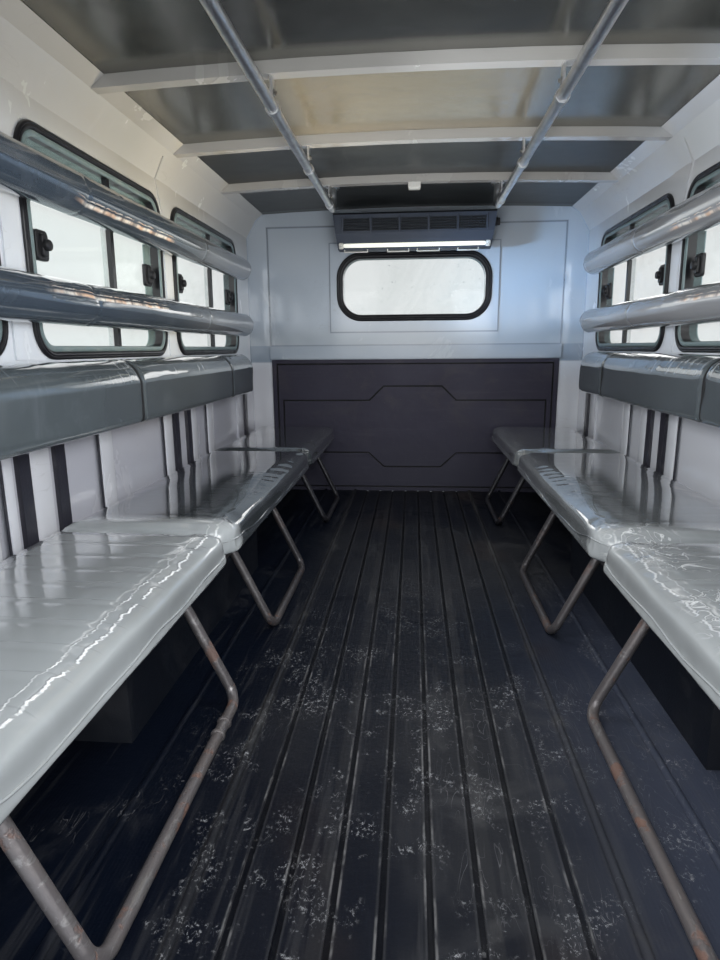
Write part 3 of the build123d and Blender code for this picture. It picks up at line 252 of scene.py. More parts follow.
class Finish:
    """A material: its Principled shader, its Object coordinates, and one method for every other node."""

    def __init__(self, name, colour=(0.8, 0.8, 0.8), **fixed):
        self.material = bpy.data.materials.new(name)
        self.material.use_nodes = True
        self.tree = self.material.node_tree
        self.shader = self.tree.nodes["Principled BSDF"]
        self.colour = colour
        self.feed("Base Color", colour)
        for socket, value in fixed.items():
            self.shader.inputs[socket.replace("_", " ")].default_value = value
        self.place = self.node("ShaderNodeTexCoord", output=3)
        axes = [self.node("ShaderNodeSeparateXYZ", None, {0: self.place}, k) for k in range(3)]
        self.x, self.y, self.z = axes

    def node(self, kind, settings=None, sockets=None, output=0):
        """Adds a node: first its settings, then the values or links of its sockets."""
        made = self.tree.nodes.new(kind)
        for key, value in (settings or {}).items():
            setattr(made, key, value)
        for key, value in (sockets or {}).items():
            if isinstance(value, Level):
                self.tree.links.new(value.socket, made.inputs[key])
            else:
                made.inputs[key].default_value = value
        return Level(self, made.outputs[output])

    def math(self, operation, *values):
        """A Math node on one or two values."""
        return self.node("ShaderNodeMath", {"operation": operation}, dict(enumerate(values)))

    def larger(self, first, second):
        """The larger of two values."""
        return self.math("MAXIMUM", first, second)

    def stretched(self, scale, shift=(0, 0, 0)):
        """Object coordinates scaled along each axis, and shifted."""
        return self.node("ShaderNodeMapping", None, {0: self.place, 1: shift, 3: scale})

    def noise(self, scale, detail=3.0, rough=0.55, bend=0.0, where=None):
        """Noise from 0 to 1."""
        sockets = {"Scale": scale, "Detail": detail, "Roughness": rough, "Distortion": bend}
        return self.node("ShaderNodeTexNoise", None, {"Vector": where or self.place, **sockets})

    def streaks(self, stretch, detail, rough, bend=0.0):
        """Noise of scale 1 on stretched coordinates."""
        return self.noise(1.0, detail, rough, bend, self.stretched(stretch))

    def wave(self, direction, scale):
        """Straight bands across one direction."""
        sockets = {"Vector": self.place, "Scale": scale}
        return self.node("ShaderNodeTexWave", {"bands_direction": direction}, sockets)

    def creases(self, scale, width, where=None, bend=0.6):
        """Thin lines where a noise passes its middle value: 1 on the line, 0 past its width."""
        return abs(self.noise(scale, 2.0, 0.45, bend, where) - 0.5).over(width, 0.0)

    def blend(self, factor, first, second):
        """Colour between two colours; a factor of 0 is the first."""
        sockets = {0: factor}
        for key, colour in ((6, first), (7, second)):
            sockets[key] = colour if isinstance(colour, Level) else (*colour, 1.0)
        return self.node("ShaderNodeMix", {"data_type": "RGBA"}, sockets, 2)

    def tint(self, factor, colour):
        """Lays a colour over the Base Color that the finish has so far."""
        self.colour = self.blend(factor, self.colour, colour)
        self.feed("Base Color", self.colour)

    def bump(self, height, distance, under=None):
        """Bump from a height of 0 to 1 over a distance in metres, on top of another bump."""
        sockets = {"Height": height, "Distance": distance, "Strength": 1.0}
        if under:
            sockets["Normal"] = under
        return self.node("ShaderNodeBump", None, sockets)

    def feed(self, socket, value):
        """Sets or links one socket of the shader."""
        if isinstance(value, Level):
            self.tree.links.new(value.socket, self.shader.inputs[socket])
        else:
            self.shader.inputs[socket].default_value = (*value, 1.0)


def scaled(colour, amount):
    """A colour made darker or lighter."""
    return tuple(c * amount for c in colour)


# Finishes

def paint_finish():
    """Light gloss paint: clouded, dusty towards the floor, yellowed under the roof, with an orange-peel skin.

    Outside it is duller. On the front wall, sealant lines follow the edges of the recessed field and of the
    window panel: a thin line where the larger of (|x| - half width) and (|height - middle| - half height)
    passes zero."""
    paint = tuple(body_colours().paint)
    f = Finish("wall_paint", scaled(paint, 0.94), Coat_Roughness=0.10)
    x, y, z = f.x, f.y, f.z
    cloud = f.noise(1.7, 4.0)
    smear = f.noise(3.0, 5.0, 0.6, 1.4, f.stretched((1.0, 1.0, 0.45))).over(0.52, 0.70)
    inside = abs(x).over(0.768, 0.760) * y.over(aft(-0.032), aft(-0.024)) * z.over(up(1.290), up(1.280))
    low = z.over(up(0.64), up(0.56)) * abs(x).over(0.60, 0.70) * inside
    bay = low * abs(x).over(HALF_WIDTH - 0.0045, HALF_WIDTH - 0.0005)
    left = x.over(0.1, -0.1)
    high = z.over(up(0.96), up(1.20)) * inside
    front = y.over(aft(0.020), aft(0.008)) * z.over(up(0.60), up(0.61)) * inside
    grime = z.over(up(0.40), up(0.0)) * f.noise(7.0, 6.0, 0.65).over(0.42, 0.72)
    scratch = f.creases(9.0, 0.006, f.stretched((1.0, 0.6, 3.0))) * f.noise(2.2).over(0.52, 0.6)
    f.tint(cloud.over(0.3, 0.7), paint)
    # Painted shade: the lower walls darker, their bays more, most on the left
    f.tint(low * (0.25 + left * 0.20), (0.44, 0.42, 0.46))
    f.tint(bay * (0.25 + left * 0.40), (0.34, 0.345, 0.40))
    # Painted shade under the roof: warm but for the right wall, darker at the front and at the left rear
    f.tint(high * (0.55 + cloud * 0.40) * x.over(0.66, 0.50), (0.43, 0.405, 0.360))
    f.tint(high * y.over(aft(1.50), aft(1.00)) * 0.55, (0.34, 0.325, 0.30))
    f.tint(high * left * y.over(aft(0.98), aft(1.25)) * 0.60, (0.20, 0.195, 0.180))
    # Painted shade on the front wall: bluish, darker low down and darkest on its ledge
    f.tint(front * 0.85, (0.41, 0.475, 0.555))
    f.tint(front * z.over(up(0.80), up(0.70)) * 0.60, (0.31, 0.35, 0.39))
    ledge = front * z.over(up(FIELD[1]) + 0.0015, up(FIELD[1]) - 0.0015)
    f.tint(ledge * 0.75, (0.225, 0.28, 0.35))
    # Painted shade along the edges of the recessed field and of the window panel
    for half, bottom, top in (FIELD, PANEL):
        beyond = abs(z - up((bottom + top) / 2)) - (top - bottom) / 2
        line = abs(f.larger(abs(x) - half, beyond)).over(0.0045, 0.0015) * front
        f.tint(line * 0.60, (0.14, 0.165, 0.20))
    f.tint(smear * 0.14, (0.50, 0.49, 0.47))
    f.tint(f.larger(grime * 0.45, scratch * 0.18), (0.24, 0.235, 0.23))
    f.feed("Coat Weight", inside * 0.80)
    f.feed("Roughness", 0.48 + smear * 0.16 + grime * 0.3 - inside * 0.28)
    f.feed("Normal", f.bump(f.noise(240.0, 2.0), 0.00010, f.bump(f.noise(4.5, 2.0), 0.0030)))
    return f.material


def mat_finish():
    """Blue-black rubber: worn streaks drawn lengthways, brown earth, and clusters of pale dust flecks."""
    base = tuple(body_colours().mat)
    dust = tuple(body_colours().dust)
    f = Finish("mat_rubber", base, Specular_IOR_Level=0.22)
    x = f.x
    worn = f.noise(1.6, 4.0).over(0.44, 0.66)
    streak = f.streaks((42.0, 2.6, 42.0), 4.0, 0.6, 0.4).over(0.54, 0.68)
    patch = f.noise(5.5, 5.0, 0.7, 1.0).over(0.53, 0.66)
    near = f.y.over(aft(1.0), aft(1.9))
    cluster = f.noise(8.5, 4.0, 0.72, 0.6).over(0.50, 0.62) * (0.10 + near * 0.90) * x.over(-0.42, -0.26)
    flecks = f.noise(150.0, 4.0, 0.8).over(0.560, 0.630)
    scratches = f.creases(1.0, 0.020, f.stretched((64.0, 22.0, 64.0)), 2.0)
    scratches = scratches * f.noise(90.0, 2.0).over(0.48, 0.58)
    scuffs = f.creases(12.0, 0.006, f.stretched((2.6, 0.8, 1.0)), 1.6) * f.noise(3.1, 3.0).over(0.54, 0.62)
    earth = f.noise(2.4, 3.0, 0.5, 0.0, f.stretched((1.0, 1.0, 1.0), (3.1, 0.0, 0.0))).over(0.50, 0.68)
    lit = x.over(0.12, 0.50) * near
    outer_ridge = abs(abs(x) - 0.270).over(0.013, 0.008)
    ridges = f.larger(outer_ridge, abs(abs(x) - 0.105).over(0.010, 0.006) * 0.6)
    f.tint(worn * 0.35, scaled(dust, 0.14))
    # Painted light: the near right lighter and bluer
    f.tint(lit * 0.80, (0.046, 0.055, 0.084))
    # Painted shade under the left bench
    f.tint(x.over(-0.20, -0.36) * 0.85, (0.0012, 0.0026, 0.0070))
    f.tint(earth * x.over(-0.25, 0.0) * x.over(0.36, 0.20) * 0.80, (0.026, 0.019, 0.016))
    f.tint(ridges * (0.25 + patch * 0.4), (0.042, 0.042, 0.043))
    f.tint(f.larger(streak * 0.16, patch * worn * 0.25), scaled(dust, 0.30))
    from_groove = f.math("PINGPONG", abs(x) - GROOVE_FIRST, GROOVE_PITCH / 2)
    aisle = abs(x).over(0.238, 0.232)
    rim = from_groove.over(0.0036, 0.0050) * from_groove.over(0.0085, 0.0060) * aisle
    worn_rim = f.streaks((20.0, 9.0, 20.0), 4.0, 0.7).over(0.50, 0.64)
    f.tint(rim * (0.10 + worn_rim * near * 0.75), (0.115, 0.115, 0.118))
    f.tint(f.larger(flecks * cluster * 0.85, f.larger(scratches * cluster * 0.7, scuffs * near * 0.35)), dust)
    # Painted shade in the grooves, weaker towards the door
    depth = from_groove.over(0.0046, 0.0030) * aisle
    f.tint(depth * (0.95 - near * 0.35), (0.0008, 0.0010, 0.0018))
    f.feed("Roughness", 0.46 + worn * 0.12 + patch * 0.14)
    f.feed("Normal", f.bump(f.noise(70.0, 4.0, 0.6), 0.0009, f.bump(f.wave("X", 55.0), 0.00010)))
    return f.material


def liner_finish():
    """Black-violet moulded sheet: satin grain, a dust veil that thickens upwards, rubbed lengthways."""
    f = Finish("bulkhead_black", tuple(body_colours().liner), Specular_IOR_Level=0.30)
    veil = f.z.over(up(0.0), up(0.60)) * f.noise(3.2, 5.0, 0.6).over(0.30, 0.66)
    rubs = f.streaks((3.0, 3.0, 38.0), 4.0, 0.6, 0.3).over(0.55, 0.72)
    specks = f.noise(120.0, 2.0).over(0.66, 0.72)
    blotch = f.noise(5.0, 5.0, 0.65, 0.6).over(0.48, 0.68) * f.z.over(up(0.10), up(0.50))
    f.tint(veil * 0.4, (0.028, 0.026, 0.036))
    f.tint(f.z.over(up(0.34), up(0.05)) * 0.7, (0.036, 0.036, 0.052))
    f.tint(blotch * 0.45, (0.052, 0.047, 0.050))
    f.tint(f.larger(rubs * 0.18, specks * 0.4), (0.075, 0.070, 0.085))
    # Painted shade in the grooves
    f.tint(f.y.over(WALL_Y + 0.0008, WALL_Y + 0.0030), (0.0012, 0.0012, 0.0020))
    # Painted highlight on upward faces near the front
    upwards = f.node("ShaderNodeSeparateXYZ", None, {0: f.node("ShaderNodeNewGeometry", output=1)}, 2)
    lip = upwards.over(0.3, 0.8) * f.y.over(WALL_Y + 0.0045, WALL_Y + 0.0020)
    f.tint(lip * 0.8, (0.10, 0.10, 0.12))
    f.feed("Roughness", 0.40 + veil * 0.16 + rubs * 0.08)
    f.feed("Normal", f.bump(f.noise(420.0, 2.0), 0.0003, f.bump(f.noise(14.0, 3.0), 0.002)))
    return f.material


def lining_finish():
    """Glossy dark board, sprung up between the bows; dull in the front bays, paler where it has yellowed.

    The spring is a bump: (1 - distance to the nearest bow / half a bay)^2, highest at the bows."""
    board = tuple(body_colours().lining)
    f = Finish(
        "roof_lining", scaled(board, 0.75), Coat_Roughness=0.16, Coat_IOR=1.6,
        Coat_Tint=(1.0, 0.96, 0.86, 1.0), Specular_IOR_Level=0.80, Specular_Tint=(1.0, 0.95, 0.84, 1.0)
    )
    x, y = f.x, f.y
    sweep = f.streaks((2.2, 4.5, 2.0), 4.0, 0.55, 0.8)
    marks = f.creases(3.0, 0.02, None, 1.5) * f.noise(1.9).over(0.5, 0.62)
    rearward = y.over(aft(BOWS[1]) + 0.02, aft(BOWS[1]) - 0.02)
    pale = rearward * y.over(aft(BOWS[2]) - 0.02, aft(BOWS[2]) + 0.02) * abs(x + 0.02).over(0.40, 0.24)
    f.tint(sweep.over(0.32, 0.70), scaled(board, 1.4))
    # Painted warm highlight in the middle of the bay between the second and third bows
    f.tint(pale * (0.55 + sweep * 0.45), (0.270, 0.240, 0.185))
    f.tint(marks * 0.2, (0.10, 0.10, 0.09))
    f.feed("Coat Weight", 0.12 + rearward * 0.88)
    f.feed("Roughness", 0.13 + sweep * 0.14 + (1.0 - rearward) * 0.25)
    half_bay = (BOWS[-1] - BOWS[0]) / (2 * (len(BOWS) - 1))
    nearness = 1.0 - f.math("PINGPONG", aft(BOWS[0]) - y, half_bay) * (1 / half_bay)
    skin = f.bump(f.streaks((60.0, 500.0, 60.0), 3.0, 0.6), 0.00015, f.bump(f.noise(6.0, 2.0), 0.003))
    f.feed("Normal", f.bump(nearness * nearness, 0.010, skin))
    return f.material


def glass_finish():
    """Tinted glass, mostly see-through: a thin teal layer whose coverage grows with dust and wipe marks."""
    f = Finish("window_glass", (0.28, 0.47, 0.47), Roughness=0.04, Specular_IOR_Level=0.5)
    film = f.noise(2.5, 5.0, 0.6, 0.8).over(0.45, 0.75)
    drops = f.noise(90.0, 2.0).over(0.66, 0.72) * f.noise(3.0).over(0.5, 0.65)
    f.tint(film * 0.5, (0.62, 0.70, 0.70))
    f.feed("Alpha", 0.17 + film * 0.10 + drops * 0.15)
    f.material.surface_render_method = "BLENDED"
    return f.material


def steel_finish():
    """Polished tube, mottled by handling, with fine scratches round it."""
    f = Finish("rail_steel", (0.90, 0.90, 0.91), Metallic=1.0)
    mottle = f.noise(38.0, 5.0, 0.65).over(0.42, 0.68)
    turned = f.streaks((90.0, 700.0, 90.0), 3.0, 0.6)
    f.tint(mottle * 0.35, (0.60, 0.60, 0.60))
    f.feed("Roughness", 0.30 + mottle * 0.14 + turned * 0.08)
    f.feed("Normal", f.bump(f.noise(48.0, 3.0), 0.0003, f.bump(turned, 0.00010)))
    return f.material


def seat_finish():
    """Grey vinyl under tight clear film: sewn channels, and jagged bright creases along the aisle edge.

    The crease follows a line near the aisle edge, moved sideways by two noises along the bench. The two front
    cushions of each side are darker, because little of the doorway's light is mirrored in them."""
    vinyl = tuple(padding().seat_colour)
    f = Finish(
        "seat_vinyl", scaled(vinyl, 0.88), Coat_Weight=1.0, Coat_Roughness=0.03, Coat_IOR=1.5,
        Specular_IOR_Level=0.8
    )
    across = abs(f.x)
    along = f.y
    lengthways = f.stretched((0.0, 1.0, 0.0))
    right = f.x.over(0.0, 0.1)
    cloudy = f.noise(7.0, 4.0, 0.6, 1.2).over(0.52, 0.74)
    wander = f.noise(22.0, 3.0, 0.75, 0.0, lengthways) * 0.034
    wander = wander + f.noise(4.0, 2.0, 0.5, 0.0, lengthways) * 0.030
    off = across - wander - CREASE_X
    near = along.over(aft(1.66), aft(1.74)) * along.over(aft(2.46), aft(2.36))
    deep = along.over(aft(1.67), aft(1.63))
    elsewhere = f.noise(3.4, 2.0, 0.5, 0.0, lengthways).over(0.48, 0.54) * 0.20
    where = f.larger(near * (1.0 - right * 0.5), elsewhere)
    broken = f.noise(31.0, 3.0, 0.7, 0.0, lengthways).over(0.40, 0.50)
    crest = abs(off).over(0.0034, 0.0006) * where * broken
    crest = f.larger(crest, abs(off - 0.019).over(0.0022, 0.0004) * where * (1.0 - broken * 0.7))
    belt = abs(across - 0.445).over(0.085, 0.03)
    rumpled = f.larger(right * 0.9, f.noise(5.0).over(0.58, 0.66) * 0.5)
    crumple = f.creases(19.0, 0.030, None, 2.2) * belt * rumpled
    crumple = crumple * f.noise(8.0, 2.0).over(0.44, 0.54) * (1.0 - deep)
    bowed = along + across.over(CREASE_X + 0.045, CREASE_X - 0.02) * 0.014
    seam = f.math("PINGPONG", bowed, padding().channel / 2).over(0.0020, 0.0002)
    seam = seam * across.over(0.368, 0.384) * across.over(0.715, 0.690) * f.noise(2.1, 2.0).over(0.40, 0.52)
    seam = seam * (1.0 - deep * 0.7)
    f.tint(f.noise(2.6, 4.0).over(0.3, 0.7), scaled(vinyl, 1.10))
    f.tint(deep * (0.94 - right * 0.34), (0.026, 0.032, 0.037))
    f.tint(cloudy * (0.16 - deep * 0.10), (0.42, 0.44, 0.46))
    f.tint(seam * 0.12, (0.10, 0.105, 0.11))
    # Painted glints: the creases and crumples whitened
    f.tint(f.larger(crest * 0.85, crumple * 0.75), (0.92, 0.94, 0.96))
    f.feed("Roughness", 0.09 + cloudy * 0.08)
    skin = f.bump(1.0 - seam, 0.0003, f.bump(f.noise(7.0, 2.0), 0.0014))
    f.feed("Normal", f.bump(f.larger(crest, crumple * 0.7), 0.0015, skin))
    return f.material


def vinyl_finish(name, vinyl, fold, along, painted_light, glints):
    """Vinyl under loose clear film: long soft folds, cloudy patches, fading, and crinkled bright glints."""
    f = Finish(
        name, scaled(vinyl, 0.86), Coat_Weight=0.9, Coat_Roughness=0.06, Coat_IOR=1.5,
        Specular_IOR_Level=0.7
    )
    cloudy = f.noise(9.0, 5.0, 0.6, 1.2).over(0.50, 0.74)
    f.tint(f.noise(2.6, 4.0).over(0.3, 0.7), scaled(vinyl, 1.12))
    f.tint(cloudy * 0.10, (0.30, 0.33, 0.37))
    # Painted light: paler where more light is mirrored in it
    if painted_light:
        f.tint(painted_light(f), (0.265, 0.275, 0.290))
    # Painted glints on the crinkles
    mask, bright = glints(f)
    f.tint(mask, bright)
    f.feed("Roughness", 0.12 + cloudy * 0.08)
    f.feed("Normal", f.bump(mask, 0.0010, f.bump(f.streaks(along, 2.0, 0.4, 0.7), fold)))
    return f.material


def rail_painted_light(f):
    """Where the rails' vinyl is paler: on the right side, and a little towards the front."""
    return f.larger(f.x.over(-0.1, 0.1) * 0.92, f.y.over(aft(1.20), aft(0.62)) * 0.42)


def rail_glints(f):
    """Copper-white crinkles along the rails' aisle faces: lines at a height that two noises move."""
    lengthways = f.stretched((0.0, 1.0, 0.0))
    wander = f.noise(15.0, 3.0, 0.6, 0.0, lengthways) * 0.006
    wander = wander + f.noise(4.0, 2.0, 0.5, 0.0, lengthways) * 0.014
    broken = f.noise(24.0, 3.0, 0.7, 0.0, lengthways).over(0.38, 0.54)
    mask = 0.0
    for height, start, end in ((0.958, 1.10, 1.66), (0.774, 1.20, 1.80)):
        off = f.z - up(height) - wander + 0.010
        reach = f.y.over(aft(start), aft(start) - 0.08) * f.y.over(aft(end), aft(end) + 0.08)
        line = abs(off).over(0.0052, 0.0008) * (0.30 + broken * 0.70)
        side = abs(off - 0.0070 - broken * 0.002).over(0.0018, 0.0003) * broken
        mask = f.larger(mask, f.larger(line, side * 0.8) * reach)
    warm = f.noise(14.0, 2.0, 0.5, 0.0, lengthways).over(0.42, 0.60)
    return mask * 0.85, f.blend(warm, (0.95, 0.90, 0.84), (0.80, 0.55, 0.40))


def back_glints(f):
    """Crinkled white glints along the roll over the backrests' tops."""
    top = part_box("backrest_left")[1][2]
    band = f.z.over(top - 0.060, top - 0.034) * f.z.over(top - 0.003, top - 0.012)
    glints = f.streaks((9.0, 52.0, 9.0), 3.0, 0.65).over(0.52, 0.66) * f.noise(5.0, 2.0).over(0.44, 0.58)
    return band * glints * 0.42, (0.78, 0.82, 0.86)


def bench_finish():
    """Brown-grey paint that has chipped to rust and bare steel, worst towards the rear."""
    paint = tuple(body_colours().legs)
    # Painted shade: towards the front the paint takes this far darker colour
    f = Finish("bench_paint", (0.026, 0.026, 0.031), Specular_IOR_Level=0.70)
    rear = f.y.over(aft(0.7), aft(2.3))
    chipped = f.noise(34.0, 6.0, 0.65).over(0.64, 0.68) + rear * f.noise(17.0, 5.0, 0.6).over(0.56, 0.62)
    chipped = f.math("MINIMUM", chipped, 1.0)
    bare = f.streaks((60.0, 16.0, 60.0), 5.0, 0.65, 0.4).over(0.54, 0.64) * (0.3 + rear * 0.7)
    f.tint(rear, paint)
    f.tint(f.noise(8.0, 4.0).over(0.45, 0.7) * rear * 0.5, (0.17, 0.145, 0.135))
    f.tint(bare * (0.15 + rear * 0.5), (0.36, 0.35, 0.35))
    f.tint(chipped * 0.8, tuple(body_colours().rust))
    f.feed("Roughness", 0.30 + chipped * 0.40)
    f.feed("Metallic", 0.40 + bare * 0.3 - chipped * 0.3)
    f.feed("Normal", f.bump(1.0 - chipped, 0.0007, f.bump(f.noise(120.0, 4.0), 0.0006)))
    return f.material


def lens_finish():
    """Tail lamp: red, amber and clear fields one above another, with a moulded grid."""
    f = Finish("tail_lens", (0.62, 0.60, 0.58), Roughness=0.12, Coat_Weight=1.0, Coat_Roughness=0.03)
    height = f.z - MAT_Z
    f.tint(height.over(0.317, 0.319), (0.40, 0.010, 0.012))
    f.tint(height.over(0.377, 0.379), (0.62, 0.20, 0.015))
    f.feed("Normal", f.bump(f.wave("X", 70.0), 0.0008, f.bump(f.wave("Z", 70.0), 0.0008)))
    return f.material


def lamp_finish():
    """White lamp lens with moulded flutes."""
    f = Finish("lamp_plastic", (0.80, 0.80, 0.78), Roughness=0.22, Coat_Weight=0.4)
    f.tint(f.noise(30.0, 3.0), (0.70, 0.68, 0.60))
    f.feed("Normal", f.bump(f.wave("X", 90.0), 0.0006))
    return f.material


def strip_finish():
    """Glowing diffuser of the light strip, dimmer towards its ends."""
    f = Finish("strip_light", (0.85, 0.85, 0.78), Roughness=0.3, Emission_Strength=0.9)
    ends = abs(f.x).over(0.29, 0.20) * (0.7 + f.noise(14.0) * 0.3)
    f.feed("Emission Color", f.blend(ends, (0.55, 0.55, 0.50), (0.98, 1.0, 0.80)))
    return f.material


def tape_finish():
    """Dark woven tape over a seam."""
    f = Finish("seam_tape", (0.009, 0.010, 0.012), Roughness=0.55)
    weave = f.wave("DIAGONAL", 260.0)
    f.tint(weave * 0.5, (0.030, 0.031, 0.034))
    f.feed("Normal", f.bump(weave, 0.0003))
    return f.material


def strut_finish():
    """Black tube of the gas struts, lightly scratched."""
    f = Finish("strut_black", (0.013, 0.013, 0.015))
    f.tint(f.creases(60.0, 0.02) * 0.4, (0.14, 0.14, 0.14))
    f.feed("Roughness", 0.25 + f.noise(40.0) * 0.2)
    return f.material


def moulded_finish(name, colour, gloss, change, spots, grain, depth):
    """Moulded plastic of one colour: its roughness follows a noise, and its skin has a fine grain."""
    f = Finish(name, colour)
    f.feed("Roughness", gloss + f.noise(*spots) * change)
    f.feed("Normal", f.bump(f.noise(grain, 2.0), depth))
    return f.material


# Finishes of one colour that a second one spots: settings, the colour, the spots' noise and where it starts
# and ends, how strong they are (None: fully), their colour, the roughness and its change on the spots, and
# the skin's grain
SPOTTED = {
    "underframe_paint": (
        {}, (0.018, 0.018, 0.02), (9.0, 6.0, 0.65), (0.45, 0.72), 0.6, (0.13, 0.115, 0.095),
        0.42, 0.4, (160.0, 4.0, 0.0006)),
    "floor_sheet": (
        {"Metallic": 0.2}, (0.085, 0.087, 0.092), (5.0, 7.0, 0.65), (0.46, 0.66), None, (0.15, 0.13, 0.11),
        0.45, 0.35, (110.0, 4.0, 0.0006)),
    "arch_lining": (
        {}, (0.0040, 0.0055, 0.0095), (6.0, 5.0, 0.65), (0.45, 0.7), 0.3, (0.022, 0.024, 0.030),
        0.45, 0.25, (330.0, 3.0, 0.0005)),
    "seal_rubber": (
        {}, (0.009, 0.009, 0.011), (26.0, 5.0, 0.6), (0.5, 0.75), 0.35, (0.06, 0.06, 0.062),
        0.28, 0.3, (200.0, 2.0, 0.0003)),
    "frame_lip": (
        {"Metallic": 0.3}, (0.17, 0.23, 0.24), (30.0, 4.0, 0.6), (0.45, 0.7), 0.4, (0.30, 0.34, 0.34),
        0.30, 0.2, None),
    "unit_plastic": (
        {"Specular_IOR_Level": 0.35}, (0.050, 0.060, 0.082), (11.0, 5.0, 0.6), (0.45, 0.72), 0.4,
        (0.090, 0.098, 0.118), 0.42, 0.2, (700.0, 2.0, 0.0002)),
    "post_paint": (
        {}, (0.020, 0.020, 0.028), (18.0, 5.0, 0.65), (0.56, 0.72), 0.4, (0.10, 0.10, 0.105),
        0.30, 0.3, (150.0, 3.0, 0.0004)),
    "hinge_steel": (
        {"Metallic": 0.9}, (0.46, 0.46, 0.46), (50.0, 5.0, 0.65), (0.45, 0.7), None, (0.24, 0.22, 0.20),
        0.28, 0.3, (220.0, 3.0, 0.0003)),
    "strut_rod": (
        {"Metallic": 1.0}, (0.74, 0.74, 0.75), (70.0, 4.0), (0.5, 0.7), 0.4, (0.40, 0.36, 0.30),
        0.08, 0.15, None),
}


def spotted_finish(name):
    """Paint, rubber, plastic or metal under dust, mud, chalk or oil: one noise gives colour and gloss."""
    fixed, colour, spots, reach, strength, second, rough, change, grain = SPOTTED[name]
    f = Finish(name, colour, **fixed)
    mask = f.noise(*spots).over(*reach)
    f.tint(mask if strength is None else mask * strength, second)
    f.feed("Roughness", rough + mask * change)
    if grain:
        f.feed("Normal", f.bump(f.noise(*grain[:2]), grain[2]))
    return f.material


MADE = {}


def finish(name):
    """The material of this name, made once."""
    if name not in MADE:
        MADE[name] = spotted_finish(name) if name in SPOTTED else MAKERS[name]()
    return MADE[name]


MAKERS = {
    "wall_paint": paint_finish,
    "mat_rubber": mat_finish,
    "bulkhead_black": liner_finish,
    "roof_lining": lining_finish,
    "window_glass": glass_finish,
    "latch_plastic": lambda: moulded_finish(
        "latch_plastic", (0.014, 0.014, 0.016), 0.32, 0.2, (60.0, 3.0), 900.0, 0.00015),
    "rail_steel": steel_finish,
    "grille_plastic": lambda: moulded_finish(
        "grille_plastic", (0.030, 0.035, 0.043), 0.38, 0.25, (30.0, 4.0), 600.0, 0.0002),
    "lamp_plastic": lamp_finish,
    "strip_light": strip_finish,
    "seat_vinyl": seat_finish,
    "back_vinyl": lambda: vinyl_finish(
        "back_vinyl", tuple(padding().back_colour), 0.0020, (7.0, 2.4, 7.0), None, back_glints),
    "rail_vinyl": lambda: vinyl_finish(
        "rail_vinyl", tuple(padding().rail_colour), 0.0011, (10.0, 1.6, 10.0), rail_painted_light, rail_glints),
    "seam_tape": tape_finish,
    "bench_paint": bench_finish,
    "tail_lens": lens_finish,
    "strut_black": strut_finish,
}


# Shapes

ACROSS = (1, 0, 0)
AHEAD = (0, 1, 0)
BACK = (0, -1, 0)
UPWARD = (0, 0, 1)
DOWN = (0, 0, -1)


def spread(a, b, seed, low, high, count=9):
    """Smooth random field from about -1 to 1: a sum of cosines of random direction, pitch and phase."""
    draw = np.random.default_rng(seed)
    pitch = draw.uniform(low, high, count)
    turn = draw.uniform(0, math.tau, count)
    phase = draw.uniform(0, math.tau, count)
    wave = np.cos(a[..., None] * pitch * np.cos(turn) + b[..., None] * pitch * np.sin(turn) + phase)
    return wave.sum(-1) / math.sqrt(count)


def smooth(value, low, high):
    """0 below low, 1 above high, with a smooth 3t^2 - 2t^3 between."""
    share = np.clip((value - low) / (high - low), 0, 1)
    return share * share * (3 - 2 * share)


def ridge(field, width):
    """Thin crests where a field passes zero: exp(-(field / width)^2)."""
    return np.exp(-((field / width) ** 2))


def outward(points, faces):
    """Faces turned so that the volume they close, a sum of triple products, is positive."""
    volume = 0.0
    for face in faces:
        for corner in range(1, face.shape[1] - 1):
            a, b, c = points[face[:, 0]], points[face[:, corner]], points[face[:, corner + 1]]
            volume += np.einsum("ij,ij->", a, np.cross(b, c))
    return faces if volume > 0 else [face[:, ::-1] for face in faces]


def loft(rings, joined=False):
    """Skin over rings (ring, point, xyz): quads between rings, and a middle point closes each end.

    With joined, the last ring meets the first instead, as on a hoop."""
    count, size = rings.shape[:2]
    points = rings.reshape(-1, 3)
    i, j = np.meshgrid(np.arange(count if joined else count - 1), np.arange(size), indexing="ij")
    after = (j + 1) % size
    upper = (i + 1) % count
    quads = [i * size + j, i * size + after, upper * size + after, upper * size + j]
    quads = np.stack(quads, -1).reshape(-1, 4)
    if joined:
        return points, outward(points, [quads])
    around = np.arange(size)
    onward = (around + 1) % size
    start = np.stack([onward, around, np.full(size, len(points))], -1)
    last = (count - 1) * size
    end = np.stack([last + around, last + onward, np.full(size, len(points) + 1)], -1)
    points = np.vstack([points, rings[0].mean(0), rings[-1].mean(0)])
    return points, outward(points, [quads, np.vstack([start, end])])


def round_outline(width, height, corner, steps=7):
    """Rectangle with round corners: corner centres plus corner * (cos, sin); and the outward directions.

    A corner may be one radius, or four, anticlockwise from the corner of largest x and y."""
    angle = (np.arange(4)[:, None] * math.pi / 2 + np.linspace(0, math.pi / 2, steps)[None, :]).ravel()
    outwards = np.stack([np.cos(angle), np.sin(angle)], -1)
    signs = np.repeat([(1, 1), (-1, 1), (-1, -1), (1, -1)], steps, axis=0)
    radius = np.repeat(np.broadcast_to(np.array(corner, float), 4), steps)[:, None]
    centre = signs * (np.array((width / 2, height / 2)) - radius)
    return centre + outwards * radius, outwards


def evenly(outline, count):
    """A closed outline's points at equal steps along it."""
    closed = np.vstack([outline, outline[:1]])
    along = np.concatenate([[0], np.cumsum(np.linalg.norm(np.diff(closed, axis=0), axis=1))])
    station = np.linspace(0, along[-1], count + 1)[:-1]
    return np.stack([np.interp(station, along, closed[:, k]) for k in (0, 1)], -1)


